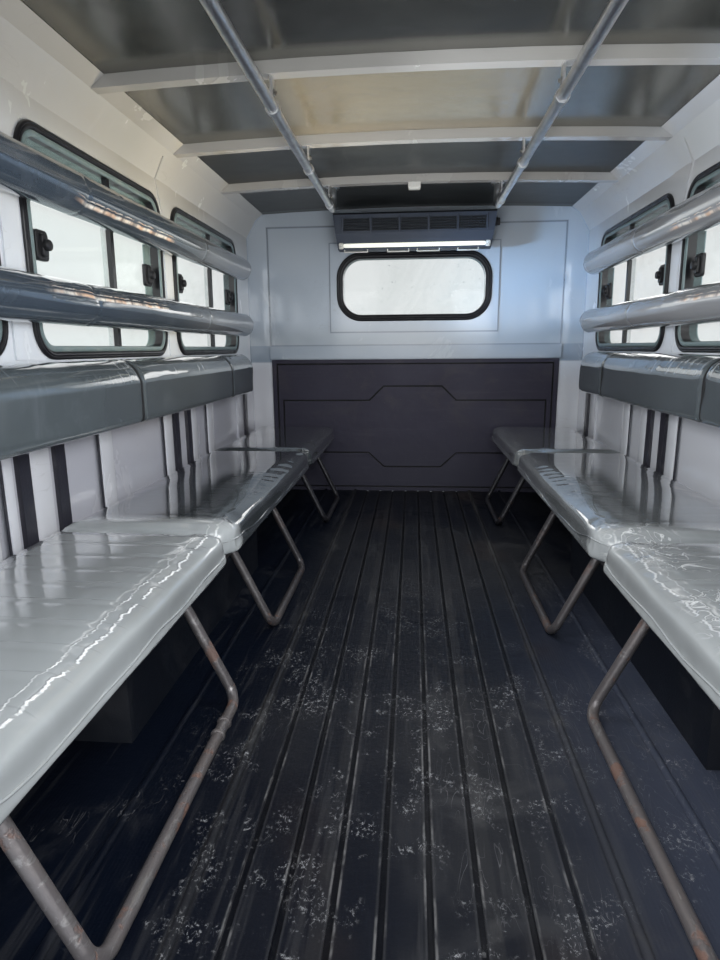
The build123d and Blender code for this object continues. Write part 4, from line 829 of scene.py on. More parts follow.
def plate(outline, outwards, depth, bevel):
    """Outline raised to a depth, its top edge rounded by a quarter circle of the bevel's size."""
    turn = np.linspace(0, math.pi / 2, 4)
    inset = np.concatenate([[0.0], bevel * (1 - np.cos(turn))])
    level = np.concatenate([[0.0], depth - bevel + bevel * np.sin(turn)])
    flat = outline[None] - outwards[None] * inset[:, None, None]
    rise = np.broadcast_to(level[:, None, None], (*flat.shape[:2], 1))
    return loft(np.concatenate([flat, rise], -1))


def slab(width, height, corner, depth, bevel):
    """A plate with a round-cornered outline."""
    return plate(*round_outline(width, height, corner), depth, bevel)


def disc(radius, depth, bevel, sides=20):
    """A round plate; six sides make it a bolt's head."""
    angle = np.arange(sides) * math.tau / sides
    outwards = np.stack([np.cos(angle), np.sin(angle)], -1)
    return plate(outwards * radius, outwards, depth, bevel)


def put(shape, origin, x_dir, z_dir):
    """A shape moved to an origin, its x and z axes along two directions."""
    points, faces = shape
    x = np.array(x_dir, float) / np.linalg.norm(x_dir)
    z = np.array(z_dir, float) / np.linalg.norm(z_dir)
    y = np.cross(z, x)
    return points @ np.stack([x, y, z]) + np.array(origin), faces


def circles(path, radius, side, rise, sides):
    """A ring round each point of a path: the point + radius * (cos a * side + sin a * rise)."""
    angle = np.arange(sides) * math.tau / sides
    turned = np.cos(angle)[None, :, None] * side[:, None] + np.sin(angle)[None, :, None] * rise[:, None]
    return path[:, None] + radius * turned


def tube(path, radius, sides=14, reference=UPWARD):
    """Round skin along a path, whose radius may change from point to point."""
    path = np.array(path, float)
    tangent = np.gradient(path, axis=0)
    tangent /= np.linalg.norm(tangent, axis=1, keepdims=True)
    side = np.cross(tangent, reference)
    side /= np.linalg.norm(side, axis=1, keepdims=True)
    radius = np.array(radius)[:, None, None]
    return loft(circles(path, radius, side, np.cross(side, tangent), sides))


def hoop(outline, outwards, profile, origin, x_dir, z_dir):
    """A profile of (outwards, upwards) points carried round a closed outline."""
    flat = outline[:, None] + outwards[:, None] * profile[None, :, 0, None]
    rise = np.broadcast_to(profile[None, :, 1, None], (*flat.shape[:2], 1))
    return put(loft(np.concatenate([flat, rise], -1), joined=True), origin, x_dir, z_dir)


def dress(name, shapes, material, body="body", replaced=(), crisp=None):
    """Joins shapes into one mesh object at the origin; crisp is the angle past which an edge is sharp."""
    starts = np.cumsum([0] + [len(points) for points, _ in shapes])
    points = np.vstack([points for points, _ in shapes])
    faces = [face + start for (_, group), start in zip(shapes, starts) for face in group]
    corners = np.concatenate([face.ravel() for face in faces])
    sizes = np.concatenate([np.full(len(face), face.shape[1]) for face in faces])
    mesh = bpy.data.meshes.new(name)
    mesh.vertices.add(len(points))
    mesh.vertices.foreach_set("co", points.ravel())
    mesh.loops.add(len(corners))
    mesh.loops.foreach_set("vertex_index", corners.astype(np.int32))
    mesh.polygons.add(len(sizes))
    mesh.polygons.foreach_set("loop_start", np.concatenate([[0], np.cumsum(sizes)[:-1]]).astype(np.int32))
    mesh.update(calc_edges=True)
    mesh.validate()
    return stand(name, mesh, material, body, replaced, crisp)


def stand(name, mesh, material, body="body", replaced=(), crisp=None):
    """Links a mesh as a piece: the body it rides on, the slot of its finish and the solids it replaces."""
    mesh.polygons.foreach_set("use_smooth", np.ones(len(mesh.polygons), bool))
    if crisp:
        mesh.set_sharp_from_angle(angle=math.radians(crisp))
    piece = bpy.data.objects.new(name, mesh)
    bpy.context.collection.objects.link(piece)
    mesh.materials.clear()
    mesh.materials.append(finish(material))
    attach(piece, body)
    if replaced:
        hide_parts(*replaced)
    return piece


def read_points(mesh, what="co"):
    """A mesh's vertex places or normals as an array."""
    values = np.empty(len(mesh.vertices) * 3, np.float32)
    mesh.vertices.foreach_get(what, values)
    return values.reshape(-1, 3).astype(float)


def write_points(mesh, points):
    """Puts vertex places back into a mesh."""
    mesh.vertices.foreach_set("co", points.astype(np.float32).ravel())
    mesh.update()


def settled(piece):
    """The mesh of a piece with its modifiers worked out."""
    piece.modifiers.update()
    graph = bpy.context.evaluated_depsgraph_get()
    graph.update()
    return bpy.data.meshes.new_from_object(piece.evaluated_get(graph))


def side_frame(side, distance, height, offset):
    """Origin, lengthways direction and outward normal of a place off the canopy's inner face."""
    normal = np.array((side * math.cos(LEAN), 0, math.sin(LEAN)))
    origin = np.array(at(side * wall_x(height), distance, height)) + normal * offset
    return origin, (0, side, 0), normal


# Simulated cushions: how much the solid shrinks before it swells, how high its foot is held, the frames, and
# the gap to its neighbours; towards the aisle it may bulge
SHRINK = 0.002
PINNED = 0.012
FRAMES = 20
GAP = 0.0004
AISLE_BULGE = 0.004

# All padding: from ring to ring of a padded rail or backrest
ROW_SPACING = 0.0062


def swollen(node, name):
    """The cushion's solid, remeshed and swelled by pressure, no point further than the largest swell.

    Afterwards it is clipped to its place, apart from a bulge towards the aisle and the swell on top."""
    options = padding()
    mesh = frame["nodes"][node].data.copy()
    work = bmesh.new()
    work.from_mesh(mesh)
    bmesh.ops.remove_doubles(work, verts=work.verts, dist=1e-5)
    work.to_mesh(mesh)
    work.free()
    points = read_points(mesh)
    low, high = points.min(0), points.max(0)
    middle = (low + high) / 2
    write_points(mesh, middle + (points - middle) * (1 - 2 * SHRINK / (high - low)))
    piece = bpy.data.objects.new(name, mesh)
    bpy.context.collection.objects.link(piece)
    remesh = piece.modifiers.new("grid", "REMESH")
    remesh.mode = "VOXEL"
    remesh.voxel_size = options.voxel
    piece.data = settled(piece)
    piece.modifiers.clear()
    before = read_points(piece.data)
    held = piece.vertex_groups.new(name="held")
    held.add(np.flatnonzero(before[:, 2] < low[2] + PINNED).tolist(), 1.0, "REPLACE")
    cloth = piece.modifiers.new("swell", "CLOTH")
    cloth.settings.quality = 4
    cloth.settings.mass = 0.25
    cloth.settings.use_pressure = True
    cloth.settings.uniform_pressure_force = options.pressure
    cloth.settings.shrink_min = -0.008
    cloth.settings.vertex_group_mass = "held"
    cloth.settings.effector_weights.gravity = 0.0
    cloth.point_cache.frame_start = 1
    cloth.point_cache.frame_end = FRAMES
    for number in range(1, FRAMES + 1):
        bpy.context.scene.frame_set(number)
    after = read_points(settled(piece))
    bpy.context.scene.frame_set(1)
    piece.modifiers.clear()
    move = after - before
    reach = np.linalg.norm(move, axis=1, keepdims=True)
    before = before + move * np.minimum(1.0, options.swell / np.maximum(reach, 1e-9))
    left = middle[0] < 0
    lowest = low + (GAP, GAP, 0) - ((0, 0, 0) if left else (AISLE_BULGE, 0, 0))
    highest = high - (GAP, GAP, -options.swell) + ((AISLE_BULGE, 0, 0) if left else (0, 0, 0))
    write_points(piece.data, np.clip(before, lowest, highest))
    piece.vertex_groups.clear()
    finer = piece.modifiers.new("finer", "SUBSURF")
    finer.levels = 1
    finer.render_levels = 1
    mesh = settled(piece)
    bpy.data.objects.remove(piece)
    return mesh


def sew(mesh, node, side, seed):
    """Presses the sewn channels lightly into a cushion's top and gives it slow, shallow waves.

    Along the normal: -depth * exp(-(channel distance / width)^2), plus a sum of long cosines."""
    pitch = padding().channel
    points = read_points(mesh)
    normals = read_points(mesh, "normal")
    low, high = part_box(node)
    edge = high[0] if side < 0 else low[0]
    from_edge = side * (points[:, 0] - edge)
    distance = WALL_Y - points[:, 1]
    top = smooth(normals[:, 2], 0.55, 0.9)
    bowed = distance - 0.014 * np.exp(-from_edge / 0.03)
    phase = np.abs((bowed / pitch + 0.5) % 1.0 - 0.5) * pitch
    fade = smooth(from_edge, 0.008, 0.03) * smooth(from_edge, 0.37, 0.34)
    lift = -0.0005 * np.exp(-((phase / 0.006) ** 2)) * fade * (0.2 + 0.8 * smooth(distance, 1.60, 1.70))
    lift += 0.0006 * spread(from_edge, distance, seed + 5, 8, 24)
    flank = smooth(-side * normals[:, 0], 0.5, 0.9)
    lift += 0.0007 * spread(points[:, 2], distance, seed + 6, 8, 40) * flank
    write_points(mesh, points + normals * (lift * np.maximum(top, flank))[:, None])


def welt(mesh, node):
    """A thin sewn piping round a cushion's top: a rounded outline laid on the swollen surface."""
    low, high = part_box(node)
    inset = padding().welt
    wide = CORNER - inset
    corners = (wide, 0.006, 0.006, wide) if high[0] < 0 else (0.006, wide, wide, 0.006)
    outline = round_outline(high[0] - low[0] - 2 * inset, high[1] - low[1] - 2 * inset, corners, 12)[0]
    flat = evenly(outline, 319) + ((low[0] + high[0]) / 2, (low[1] + high[1]) / 2)
    faces = [tuple(face.vertices) for face in mesh.polygons]
    tree = BVHTree.FromPolygons([tuple(point) for point in read_points(mesh)], faces)
    hits = [tree.ray_cast((x, y, high[2] + 0.05), DOWN)[0] for x, y in flat]
    height = np.array([hit.z if hit else high[2] - 0.004 for hit in hits])
    height = np.convolve(np.concatenate([height[-5:], height, height[:5]]), np.ones(11) / 11, "valid")
    path = np.column_stack([flat, height - 0.0003])
    tangent = np.roll(path, -1, 0) - np.roll(path, 1, 0)
    tangent /= np.linalg.norm(tangent, axis=1, keepdims=True)
    out = np.cross(tangent, UPWARD)
    rise = np.broadcast_to(np.array(UPWARD, float), out.shape)
    return loft(circles(path, 0.0019, out, rise, 10), joined=True)


def make_cushions():
    """Six swollen seat cushions with channels and welts."""
    for word, side in SIDES.items():
        for number in (1, 2, 3):
            node = f"seat_cushion_{word}_{number}"
            name = f"cushion_{word}_{number}"
            mesh = swollen(node, name)
            sew(mesh, node, side, 10 * number + (5 if side < 0 else 0))
            stand(name, mesh, "seat_vinyl", replaced=(node,))
            dress(f"cushion_welt_{word}_{number}", [welt(mesh, node)], "seat_vinyl")


def round_ends(length, rounding, steps=9):
    """Places along a padded form and how far its skin draws in there: a quarter circle at each end."""
    turn = np.linspace(0, math.pi / 2, steps)[:-1]
    end = rounding * (1 - np.cos(turn))
    rows = int(length / ROW_SPACING)
    place = np.concatenate([end, np.linspace(rounding, length - rounding, rows), (length - end)[::-1]])
    drawn = rounding * (1 - np.sin(turn))
    return place, np.concatenate([drawn, np.zeros(rows), drawn[::-1]])


def roll_rings(low, high, side, seed):
    """Rings of a padded rail: radius plus slow swells, a seam near each end and at each joint, and long
    shallow folds of film on top. The ends close on a quarter of a circle."""
    radius = (high[2] - low[2]) / 2
    inset, shrink = round_ends(high[1] - low[1], 0.030)
    # angle 0 faces the aisle, a quarter turn faces up
    s, a = np.meshgrid(inset, np.arange(60) * math.tau / 60, indexing="ij")
    around = radius * a
    swell = 0.0009 * spread(s, around, seed, 4, 16)
    upper = smooth(np.cos(a - 1.15), 0.1, 0.85)
    where = smooth(spread(s, around * 0.3, seed + 1, 3, 9), -0.5, 0.6) * upper
    crest = ridge(spread(s * 0.35, around * 1.8, seed + 2, 40, 110), 0.30)
    seams = np.zeros_like(s)
    distance = s + (WALL_Y - high[1])
    gather = spread(around * 1.2, distance * 0.2, seed + 4, 90, 200)
    for place in (*RAIL_SEAMS, WALL_Y - high[1] + 0.036, WALL_Y - low[1] - 0.036):
        seams -= 0.0016 * np.exp(-(((distance - place) / 0.005) ** 2))
        seams += 0.0006 * gather * np.exp(-np.abs(distance - place) / 0.030)
    reach = radius - 0.0010 - shrink[:, None] + swell + 0.0008 * crest * where + seams
    x = (low[0] + high[0]) / 2 - side * reach * np.cos(a)
    z = (low[2] + high[2]) / 2 + reach * np.sin(a)
    return np.stack([x, high[1] - s, z], -1)


def make_rails():
    """Four padded rails under clear film."""
    for row, seed in (("upper", 40), ("middle", 60)):
        for word, side in SIDES.items():
            node = f"{row}_rail_{word}"
            rings = roll_rings(*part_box(node), side, seed + side)
            name = f"padded_{row}_{word}"
            dress(name, [loft(rings)], "rail_vinyl", replaced=(node,))


def back_section(size=64):
    """Backrest's section, (towards the aisle, up) in metres from its wall side and foot, and its normals.

    A flat back and foot, an upright front with a round foot, and a quarter circle over the top."""
    depth, height, roll, foot_round = 0.0857, 0.156, 0.062, 0.018
    turn = np.linspace(0, math.pi / 2, 18)
    foot_turn = np.linspace(-math.pi / 2, 0, 8)
    parts = [
        (np.full(8, 0.0006), np.linspace(height - 0.036, 0.004, 8)),
        (np.linspace(0.004, depth - foot_round, 8)[:-1], np.zeros(7)),
        (depth - foot_round + foot_round * np.cos(foot_turn), foot_round + foot_round * np.sin(foot_turn)),
        (np.full(6, depth), np.linspace(foot_round, height - roll, 8)[1:-1]),
        (depth - roll * (1 - np.cos(turn)), height - roll + roll * np.sin(turn)),
        (np.linspace(depth - roll, 0.004, 6)[1:], height - np.linspace(0, 0.030, 6)[1:]),
    ]
    section = evenly(np.vstack([np.stack(part, -1) for part in parts]), size)
    forward = np.roll(section, -1, 0) - np.roll(section, 1, 0)
    normal = np.stack([forward[:, 1], -forward[:, 0]], -1)
    return section, normal / np.linalg.norm(normal, axis=1, keepdims=True)


def backrest_rings(low, high, side, seed):
    """Rings of a backrest: its section, thinned over a plan arc at each end, drawn in at the sewn seams."""
    section, normal = back_section()
    length = high[1] - low[1]
    s, shrink = round_ends(length, 0.004, 5)
    from_end = np.minimum(s, length - s)
    arc = BACK_ROUND - from_end.clip(0, BACK_ROUND)
    depth = section[:, 0].max()
    kept = (depth - BACK_ROUND + np.sqrt(BACK_ROUND**2 - arc**2)).clip(0.012) / depth
    steps = np.linalg.norm(np.diff(np.vstack([section, section[:1]]), axis=0), axis=1)
    around = np.concatenate([[0], np.cumsum(steps)[:-1]])
    distance, girth = np.meshgrid(s + (WALL_Y - high[1]), around, indexing="ij")
    lift = 0.0010 * spread(distance, girth, seed, 5, 18)
    for place in BACK_SEAMS:
        gap = distance - place
        lift -= 0.0045 * np.exp(-((gap / 0.009) ** 2))
        pucker = spread(girth, gap * 0.25, seed + 7, 50, 120)
        lift += 0.0011 * pucker * np.exp(-(np.abs(gap) - 0.012).clip(0) / 0.030)
    upper = smooth(section[:, 1], 0.085, 0.13)[None, :]
    where = smooth(spread(distance, girth * 0.4, seed + 1, 3, 10), -0.5, 0.6) * upper
    lift += 0.0007 * ridge(spread(distance * 0.5, girth * 1.6, seed + 2, 35, 90), 0.3) * where
    ends = np.exp(-((from_end - 0.055).clip(0) / 0.03)) * smooth(s, 0.004, 0.03)
    lift += 0.0016 * spread(girth * 0.5, distance * 1.2, seed + 3, 60, 130) * ends[:, None]
    lift = (lift - 0.0008) * smooth(section[:, 0], 0.004, 0.03)[None, :] - shrink[:, None]
    flat = section[None] * np.stack([kept, np.ones_like(kept)], -1)[:, None] + normal[None] * lift[..., None]
    x = (high[0] if side > 0 else low[0]) - side * flat[..., 0]
    y = np.broadcast_to((high[1] - s)[:, None], x.shape)
    return np.stack([x, y, low[2] + flat[..., 1]], -1)


def seam_tape(low, high, side, place, width=0.0085):
    """Dark tape in a backrest's seam: the section pushed out a little, carried over the tape's width."""
    section, normal = back_section(72)
    wall = high[0] if side > 0 else low[0]
    free = smooth(section[:, 0], 0.004, 0.03)[:, None]
    rings = []
    for gap, push in ((-1.0, -0.0062), (-0.8, -0.0022), (0.0, -0.0016), (0.8, -0.0022), (1.0, -0.0062)):
        flat = section + normal * (push * free + (free - 1) * 0.001)
        y = np.full(len(flat), aft(place + gap * width / 2))
        rings.append(np.stack([wall - side * flat[:, 0], y, low[2] + flat[:, 1]], -1))
    return loft(np.array(rings))


def make_backrests():
    """Two long backrests, each with sewn seams covered by dark tape."""
    for word, side in SIDES.items():
        node = f"backrest_{word}"
        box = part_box(node)
        rings = backrest_rings(*box, side, 80 + side)
        name = f"padded_{node}"
        dress(name, [loft(rings)], "back_vinyl", replaced=(node,))
        tapes = [seam_tape(*box, side, place) for place in BACK_SEAMS]
        dress(f"seam_tapes_{word}", tapes, "seam_tape")


# Trim and fittings

def bead(outer, inner, height, groove=0.35, size=15):
    """Rubber bead's section: height * sin(pi u)^0.45 across it, with a groove for the filler strip."""
    u = np.linspace(0, 1, size)
    rise = height * np.sin(math.pi * u) ** 0.45 * (1 - groove * np.exp(-(((u - 0.42) / 0.07) ** 2)))
    top = np.stack([outer + (inner - outer) * u, rise], -1)
    return np.vstack([top, [(inner, -0.0015), (outer, -0.0015)]])


def make_window_trim():
    """Rubber beads round every window, inside and out, grey lips round the side ones, and pane latches."""
    beads = []
    lips = []
    latches = []
    # plate, grip and knob of a latch, and how far each stands off the pane
    latch = [
        (slab(0.042, 0.060, 0.008, 0.010, 0.003), 0.0),
        (slab(0.020, 0.046, 0.007, 0.008, 0.0025), 0.009),
        (disc(0.0115, 0.011, 0.004, 24), 0.016),
    ]
    profile = bead(0.0062, -0.0105, 0.0048)
    lip = bead(-0.0100, -0.0228, 0.0030, groove=0.0)
    for side in SIDES.values():
        for start, end in WINDOWS:
            outline, outwards = round_outline(end - start, WINDOW_HEIGHT, WINDOW_CORNER, 9)
            for face, offset in ((-1, -0.004), (1, CANOPY_WALL + 0.004)):
                origin, lengthways, normal = side_frame(side, (start + end) / 2, WINDOW_MIDDLE, offset)
                beads.append(hoop(outline, outwards, profile, origin, lengthways, face * normal))
                lips.append(hoop(outline, outwards, lip, origin, lengthways, face * normal))
            for place, pane in ((start + LATCH_INSET, PANES[0]), (end - LATCH_INSET, PANES[1])):
                origin, lengthways, normal = side_frame(side, place, WINDOW_MIDDLE, pane - 0.0022)
                for shape, raised in latch:
                    latches.append(put(shape, origin - normal * raised, lengthways, -normal))
    outline, outwards = round_outline(*FRONT_WINDOW, 12)
    seal_low, seal_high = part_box("front_window_seal")
    level = (seal_low[2] + seal_high[2]) / 2
    front = bead(0.0062, -0.0225, 0.007)
    for y, facing in ((seal_low[1], BACK), (seal_high[1], AHEAD)):
        beads.append(hoop(outline, outwards, front, (0, y, level), ACROSS, facing))
    dress("window_beads", beads, "seal_rubber", crisp=50)
    dress("window_lips", lips, "frame_lip", crisp=50)
    dress("pane_latches", latches, "latch_plastic", replaced=("window_latches",), crisp=40)


def make_air_unit_trim():
    """Vanes in the vents and ribs between them, the light strip with its ends and brackets, and the knob."""
    blade = slab(0.0016, 0.046, 0.0007, 0.010, 0.0006)
    rib = slab(0.0055, 0.066, 0.002, 0.0045, 0.0015)
    vanes = []
    for centre in (np.arange(VENTS) - (VENTS - 1) // 2) * VENT_PITCH:
        for step in np.linspace(-0.046, 0.046, 10):
            vanes.append(put(blade, at(centre + step, 0.184, VENT_HEIGHT), ACROSS, BACK))
    edges = np.arange(VENTS + 1) * VENT_PITCH - VENTS * VENT_PITCH / 2
    ribs = [put(rib, at(edge, 0.1975, VENT_HEIGHT), ACROSS, (0, -1, -0.05)) for edge in edges]
    dress("vent_vanes", vanes, "grille_plastic", crisp=40)
    dress("vent_ribs", ribs, "unit_plastic", crisp=40)
    middle = np.array(at(*STRIP))
    sunk = middle - STRIP_SLOPE * 0.001
    strip = put(slab(0.585, 0.016, 0.0078, 0.009, 0.005), sunk, ACROSS, STRIP_SLOPE)
    ends = []
    for x in (-0.301, 0.301):
        ends.append(put(slab(0.020, 0.024, 0.005, 0.010, 0.003), sunk + (x, 0, 0), ACROSS, STRIP_SLOPE))
        ends.append(put(disc(0.006, 0.016, 0.002, 18), middle + (x, 0, -0.004), ACROSS, STRIP_SLOPE))
    brackets = []
    for x, width in ((-0.240, 0.100), (-0.065, 0.092), (0.059, 0.094), (0.222, 0.086)):
        bar = slab(width, 0.0042, 0.0018, 0.010, 0.0015)
        leg = slab(0.0040, 0.0125, 0.0015, 0.010, 0.0015)
        brackets.append(put(bar, at(x, 0.168, 1.0590), ACROSS, BACK))
        for end in (-0.5, 0.5):
            brackets.append(put(leg, at(x + end * (width - 0.004), 0.168, 1.0632), ACROSS, BACK))
    dress("light_strip", [strip], "strip_light", crisp=50)
    dress("strip_ends", ends, "lamp_plastic", crisp=50)
    dress("strip_brackets", brackets, "lamp_plastic", crisp=40)
    end_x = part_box("air_unit")[1][0] - 0.008
    knob = [put(disc(0.017, 0.016, 0.005, 24), at(end_x, 0.150, 1.170), AHEAD, ACROSS),
            put(slab(0.010, 0.030, 0.003, 0.010, 0.003), at(end_x + 0.014, 0.150, 1.170), AHEAD, ACROSS)]
    dress("unit_knob", knob, "latch_plastic", crisp=40)


def bolt(origin, z_dir, radius):
    """A hexagon head on a washer."""
    x_dir = np.cross(z_dir, (0.31, 0.55, 0.77))
    head = np.array(origin) + np.array(z_dir, float) * 0.0014
    washer = put(disc(radius * 1.75, 0.0016, 0.0005, 20), origin, x_dir, z_dir)
    return [washer, put(disc(radius, 0.0055, 0.0012, 6), head, x_dir, z_dir)]


def make_rail_fittings():
    """Screws in the grab rails' flanges and through their hangers."""
    parts = []
    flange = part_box("grab_rails")[1][2] - 0.0048
    for side in SIDES.values():
        for place in GRAB_ENDS:
            for turn in np.arange(3) * math.tau / 3 + 0.5:
                x = side * GRAB_X + FLANGE_CIRCLE * math.cos(turn)
                parts += bolt((x, aft(place) + FLANGE_CIRCLE * math.sin(turn), flange), DOWN, 0.0032)
        for place in BOWS:
            for face in (-1, 1):
                spot = at(side * GRAB_X + face * 0.0028, place, HANGER_BOLT)
                parts += bolt(spot, (face, 0, 0), 0.0046)
    dress("rail_screws", parts, "hinge_steel", crisp=35)


# Pad and sleeve round a leg's foot bar: (step along the bar, radius), and the places of the sleeves
FOOT_PAD = [(-0.016, 0.0101), (0.0, 0.0103), (0.016, 0.0101)]
SLEEVE = [(-0.0045, 0.0100), (-0.0035, 0.0122), (0.0, 0.0132), (0.0035, 0.0122), (0.0045, 0.0100)]
SLEEVE_PLACES = (1.925, 1.962)


def leg_ring(side, place, lift, profile, sides):
    """A pad or sleeve of this profile round a leg's foot bar."""
    path = [(side * LEG_FOOT_X, aft(place) + step, up(LEG_RADIUS + lift)) for step, _ in profile]
    return tube(path, [radius for _, radius in profile], sides)


def make_bench_fittings():
    """Welds and feet on the bench legs, screw plates under the boards, and two sleeves on the near bar."""
    parts = []
    screws = []
    under = BOARD_UNDER - 0.0032
    for side in SIDES.values():
        for start, end in LEGS:
            for place in (start, end):
                head = at(side * (LEG_HEAD_X - 0.004), place, under)
                parts.append(put(slab(0.052, 0.040, 0.006, 0.0030, 0.001), head, ACROSS, UPWARD))
                weld = [at(side * (LEG_HEAD_X - 0.009 + k * 0.002), place, BOARD_UNDER - 0.016 + k * 0.004)
                        for k in range(4)]
                parts.append(tube(weld, (0.0105, 0.0125, 0.0140, 0.0150), 18, AHEAD))
                for dx in (-0.018, 0.018):
                    screws += bolt(at(side * (LEG_HEAD_X - 0.004 + dx), place - 0.013, under), DOWN, 0.0040)
            for place in (start + 0.085, end - 0.085):
                parts.append(leg_ring(side, place, 0.0, FOOT_PAD, 18))
        if side < 0:
            parts += [leg_ring(side, place, 0.0003, SLEEVE, 20) for place in SLEEVE_PLACES]
    dress("leg_welds", parts, "bench_paint", crisp=45)
    dress("leg_screws", screws, "hinge_steel", crisp=35)


def make_wall_ribs():
    """Pressed ribs inside the bed's sides, each with a dark sealed joint along its rear edge."""
    ribs = []
    shadow_strips = []
    tall = RIB_HEAD - RIB_FOOT
    for side in SIDES.values():
        for start, end in RIBS:
            for parts, place, shape in (
                (ribs, (start + end) / 2, slab(end - start, tall, 0.008, 0.0050, 0.0040)),
                (shadow_strips, end + 0.0025, slab(0.0065, tall, 0.003, 0.0022, 0.0008)),
            ):
                origin = at(side * (HALF_WIDTH + 0.0003), place, (RIB_FOOT + RIB_HEAD) / 2)
                parts.append(put(shape, origin, AHEAD, (-side, 0, 0)))
    dress("wall_ribs", ribs, "wall_paint", crisp=60)
    # The dark strips are painted shadows beside the ribs
    dress("rib_shadows", shadow_strips, "post_paint", crisp=60)


def make_tailgate_fittings():
    """The tailgate's handle, the pins of its latches and the bolts of its hinge straps."""
    low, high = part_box("tailgate")
    y = low[1] + 0.085
    parts = [
        put(slab(0.170, 0.070, 0.012, 0.006, 0.002), (0, y, low[2] + 0.0008), ACROSS, DOWN),
        put(slab(0.128, 0.030, 0.012, 0.012, 0.004), (0, y, low[2] - 0.0042), ACROSS, DOWN),
    ]
    for side in SIDES.values():
        for place in (0.065, 0.036):
            spot = (side * (high[0] - 0.0006), low[1] + place, (low[2] + high[2]) / 2)
            parts.append(put(disc(0.007, 0.0045, 0.0015, 18), spot, AHEAD, (side, 0, 0)))
    dress("tailgate_handle", parts, "latch_plastic", body="tailgate", crisp=40)
    bolts = []
    for x in (-0.480, 0.0, 0.480):
        for along in (0.050, 0.110, 0.170):
            bolts += bolt((x, high[1] - along, low[2] - 0.0078), DOWN, 0.0055)
    dress("tailgate_bolts", bolts, "hinge_steel", body="tailgate", crisp=35)


def paint_nodes():
    """Gives every carried-over solid the finish of its slot."""
    for entry in frame["record"]["subparts"]:
        node = frame["nodes"].get(entry["node"])
        if node is None:
            continue
        node.data.materials.clear()
        node.data.materials.append(finish(entry["material_slot"]))
        node.data.polygons.foreach_set("material_index", np.zeros(len(node.data.polygons), np.int32))


# Stage: the camera's place from the middle, behind the bulkhead and above the mat, its turns in radians and
# its focal length in pixels of a picture of that height

EYE = (0.0029, 2.9059, 0.6673)
YAW, PITCH, ROLL = 0.0858, -0.2086, -0.0084
FOCAL_PIXELS = 623.2292
PICTURE_HEIGHT = 960
SENSOR = 36.0
FLOOR_HALF = 30.0

# Square lamps: place, aim, size, power and colour
SKY_BLUE = (0.93, 0.97, 1.0)
LAMPS = {
    "rear_right_sky": ((1.1, 4.6, 1.5), (-0.45, 2.1, 0.35), (1.6, 1.4), 40, SKY_BLUE),
    "rear_left_sky": ((-1.1, 4.6, 1.5), (0.55, 1.9, 0.60), (1.6, 1.4), 20, SKY_BLUE),
    "left_sky": ((-3.6, 1.4, 2.2), (0, 1.2, 0.6), (3.2, 1.8), 34, (1, 1, 1)),
    "right_sky": ((3.6, 0.9, 2.2), (0, 1.2, 0.6), (3.2, 1.8), 34, (1, 1, 1)),
    "front_sky": ((0.6, -4.2, 2.2), (0, 0, 0.6), (3.0, 1.8), 34, (1, 1, 1)),
    "warm_bounce": ((0.30, 1.05, 0.62), (-0.74, 1.15, 1.16), (0.25, 0.25), 1.9, (1.0, 0.84, 0.52)),
    "window_gleam": ((-0.62, 1.05, 0.872), (0.50, 0, 0.94), (0.22, 0.05), 0.7, (0.40, 0.66, 1.0)),
}

# Lamps that reflections don't show: the cone of a square one in degrees, and the round fills' place behind
# the bulkhead, height and power
CONES = {"warm_bounce": 75, "window_gleam": 30}
FILLS = {
    "front_fill": (0.60, 0.74, 3.6),
    "middle_fill": (1.20, 0.74, 8.0),
    "rear_fill": (1.80, 0.74, 9.5),
    "door_fill": (2.45, 0.70, 13.0),
}
FILL_RADIUS = 0.20


def make_camera():
    """Camera behind the load space, at the place and angle fitted to the photograph's edges."""
    ahead = Vector((-math.sin(YAW) * math.cos(PITCH), math.cos(YAW) * math.cos(PITCH), math.sin(PITCH)))
    across = Vector((math.cos(YAW), math.sin(YAW), 0))
    upward = across.cross(ahead)
    right = across * math.cos(ROLL) + upward * math.sin(ROLL)
    top = upward * math.cos(ROLL) - across * math.sin(ROLL)
    data = bpy.data.cameras.new("camera")
    data.sensor_width = SENSOR
    data.lens = FOCAL_PIXELS * SENSOR / PICTURE_HEIGHT
    data.clip_start = 0.01
    camera = bpy.data.objects.new("camera", data)
    bpy.context.collection.objects.link(camera)
    turned = Matrix((right, top, -ahead)).transposed().to_4x4()
    camera.matrix_world = Matrix.Translation(Vector(at(*EYE))) @ turned
    bpy.context.scene.camera = camera


def hang(name, data, power, place, hidden):
    """Links a lamp that straight views don't see; a hidden one isn't seen in reflections either."""
    data.energy = power
    lamp = bpy.data.objects.new(name, data)
    bpy.context.collection.objects.link(lamp)
    lamp.location = at(*place)
    lamp.visible_camera = False
    lamp.visible_glossy = not hidden
    return lamp


def make_lamps():
    """Soft square lamps round the body, two small ones inside, and soft round fills along the aisle."""
    for name, (place, aim, size, power, colour) in LAMPS.items():
        data = bpy.data.lights.new(name, "AREA")
        data.shape = "RECTANGLE"
        data.size, data.size_y = size
        data.color = colour
        if name in CONES:
            data.spread = math.radians(CONES[name])
        lamp = hang(name, data, power, place, name in CONES)
        way = Vector(at(*aim)) - Vector(at(*place))
        lamp.rotation_euler = way.to_track_quat("-Z", "Y").to_euler()
    for name, (distance, height, power) in FILLS.items():
        data = bpy.data.lights.new(name, "POINT")
        data.shadow_soft_size = FILL_RADIUS
        hang(name, data, power, (0, distance, height), True)


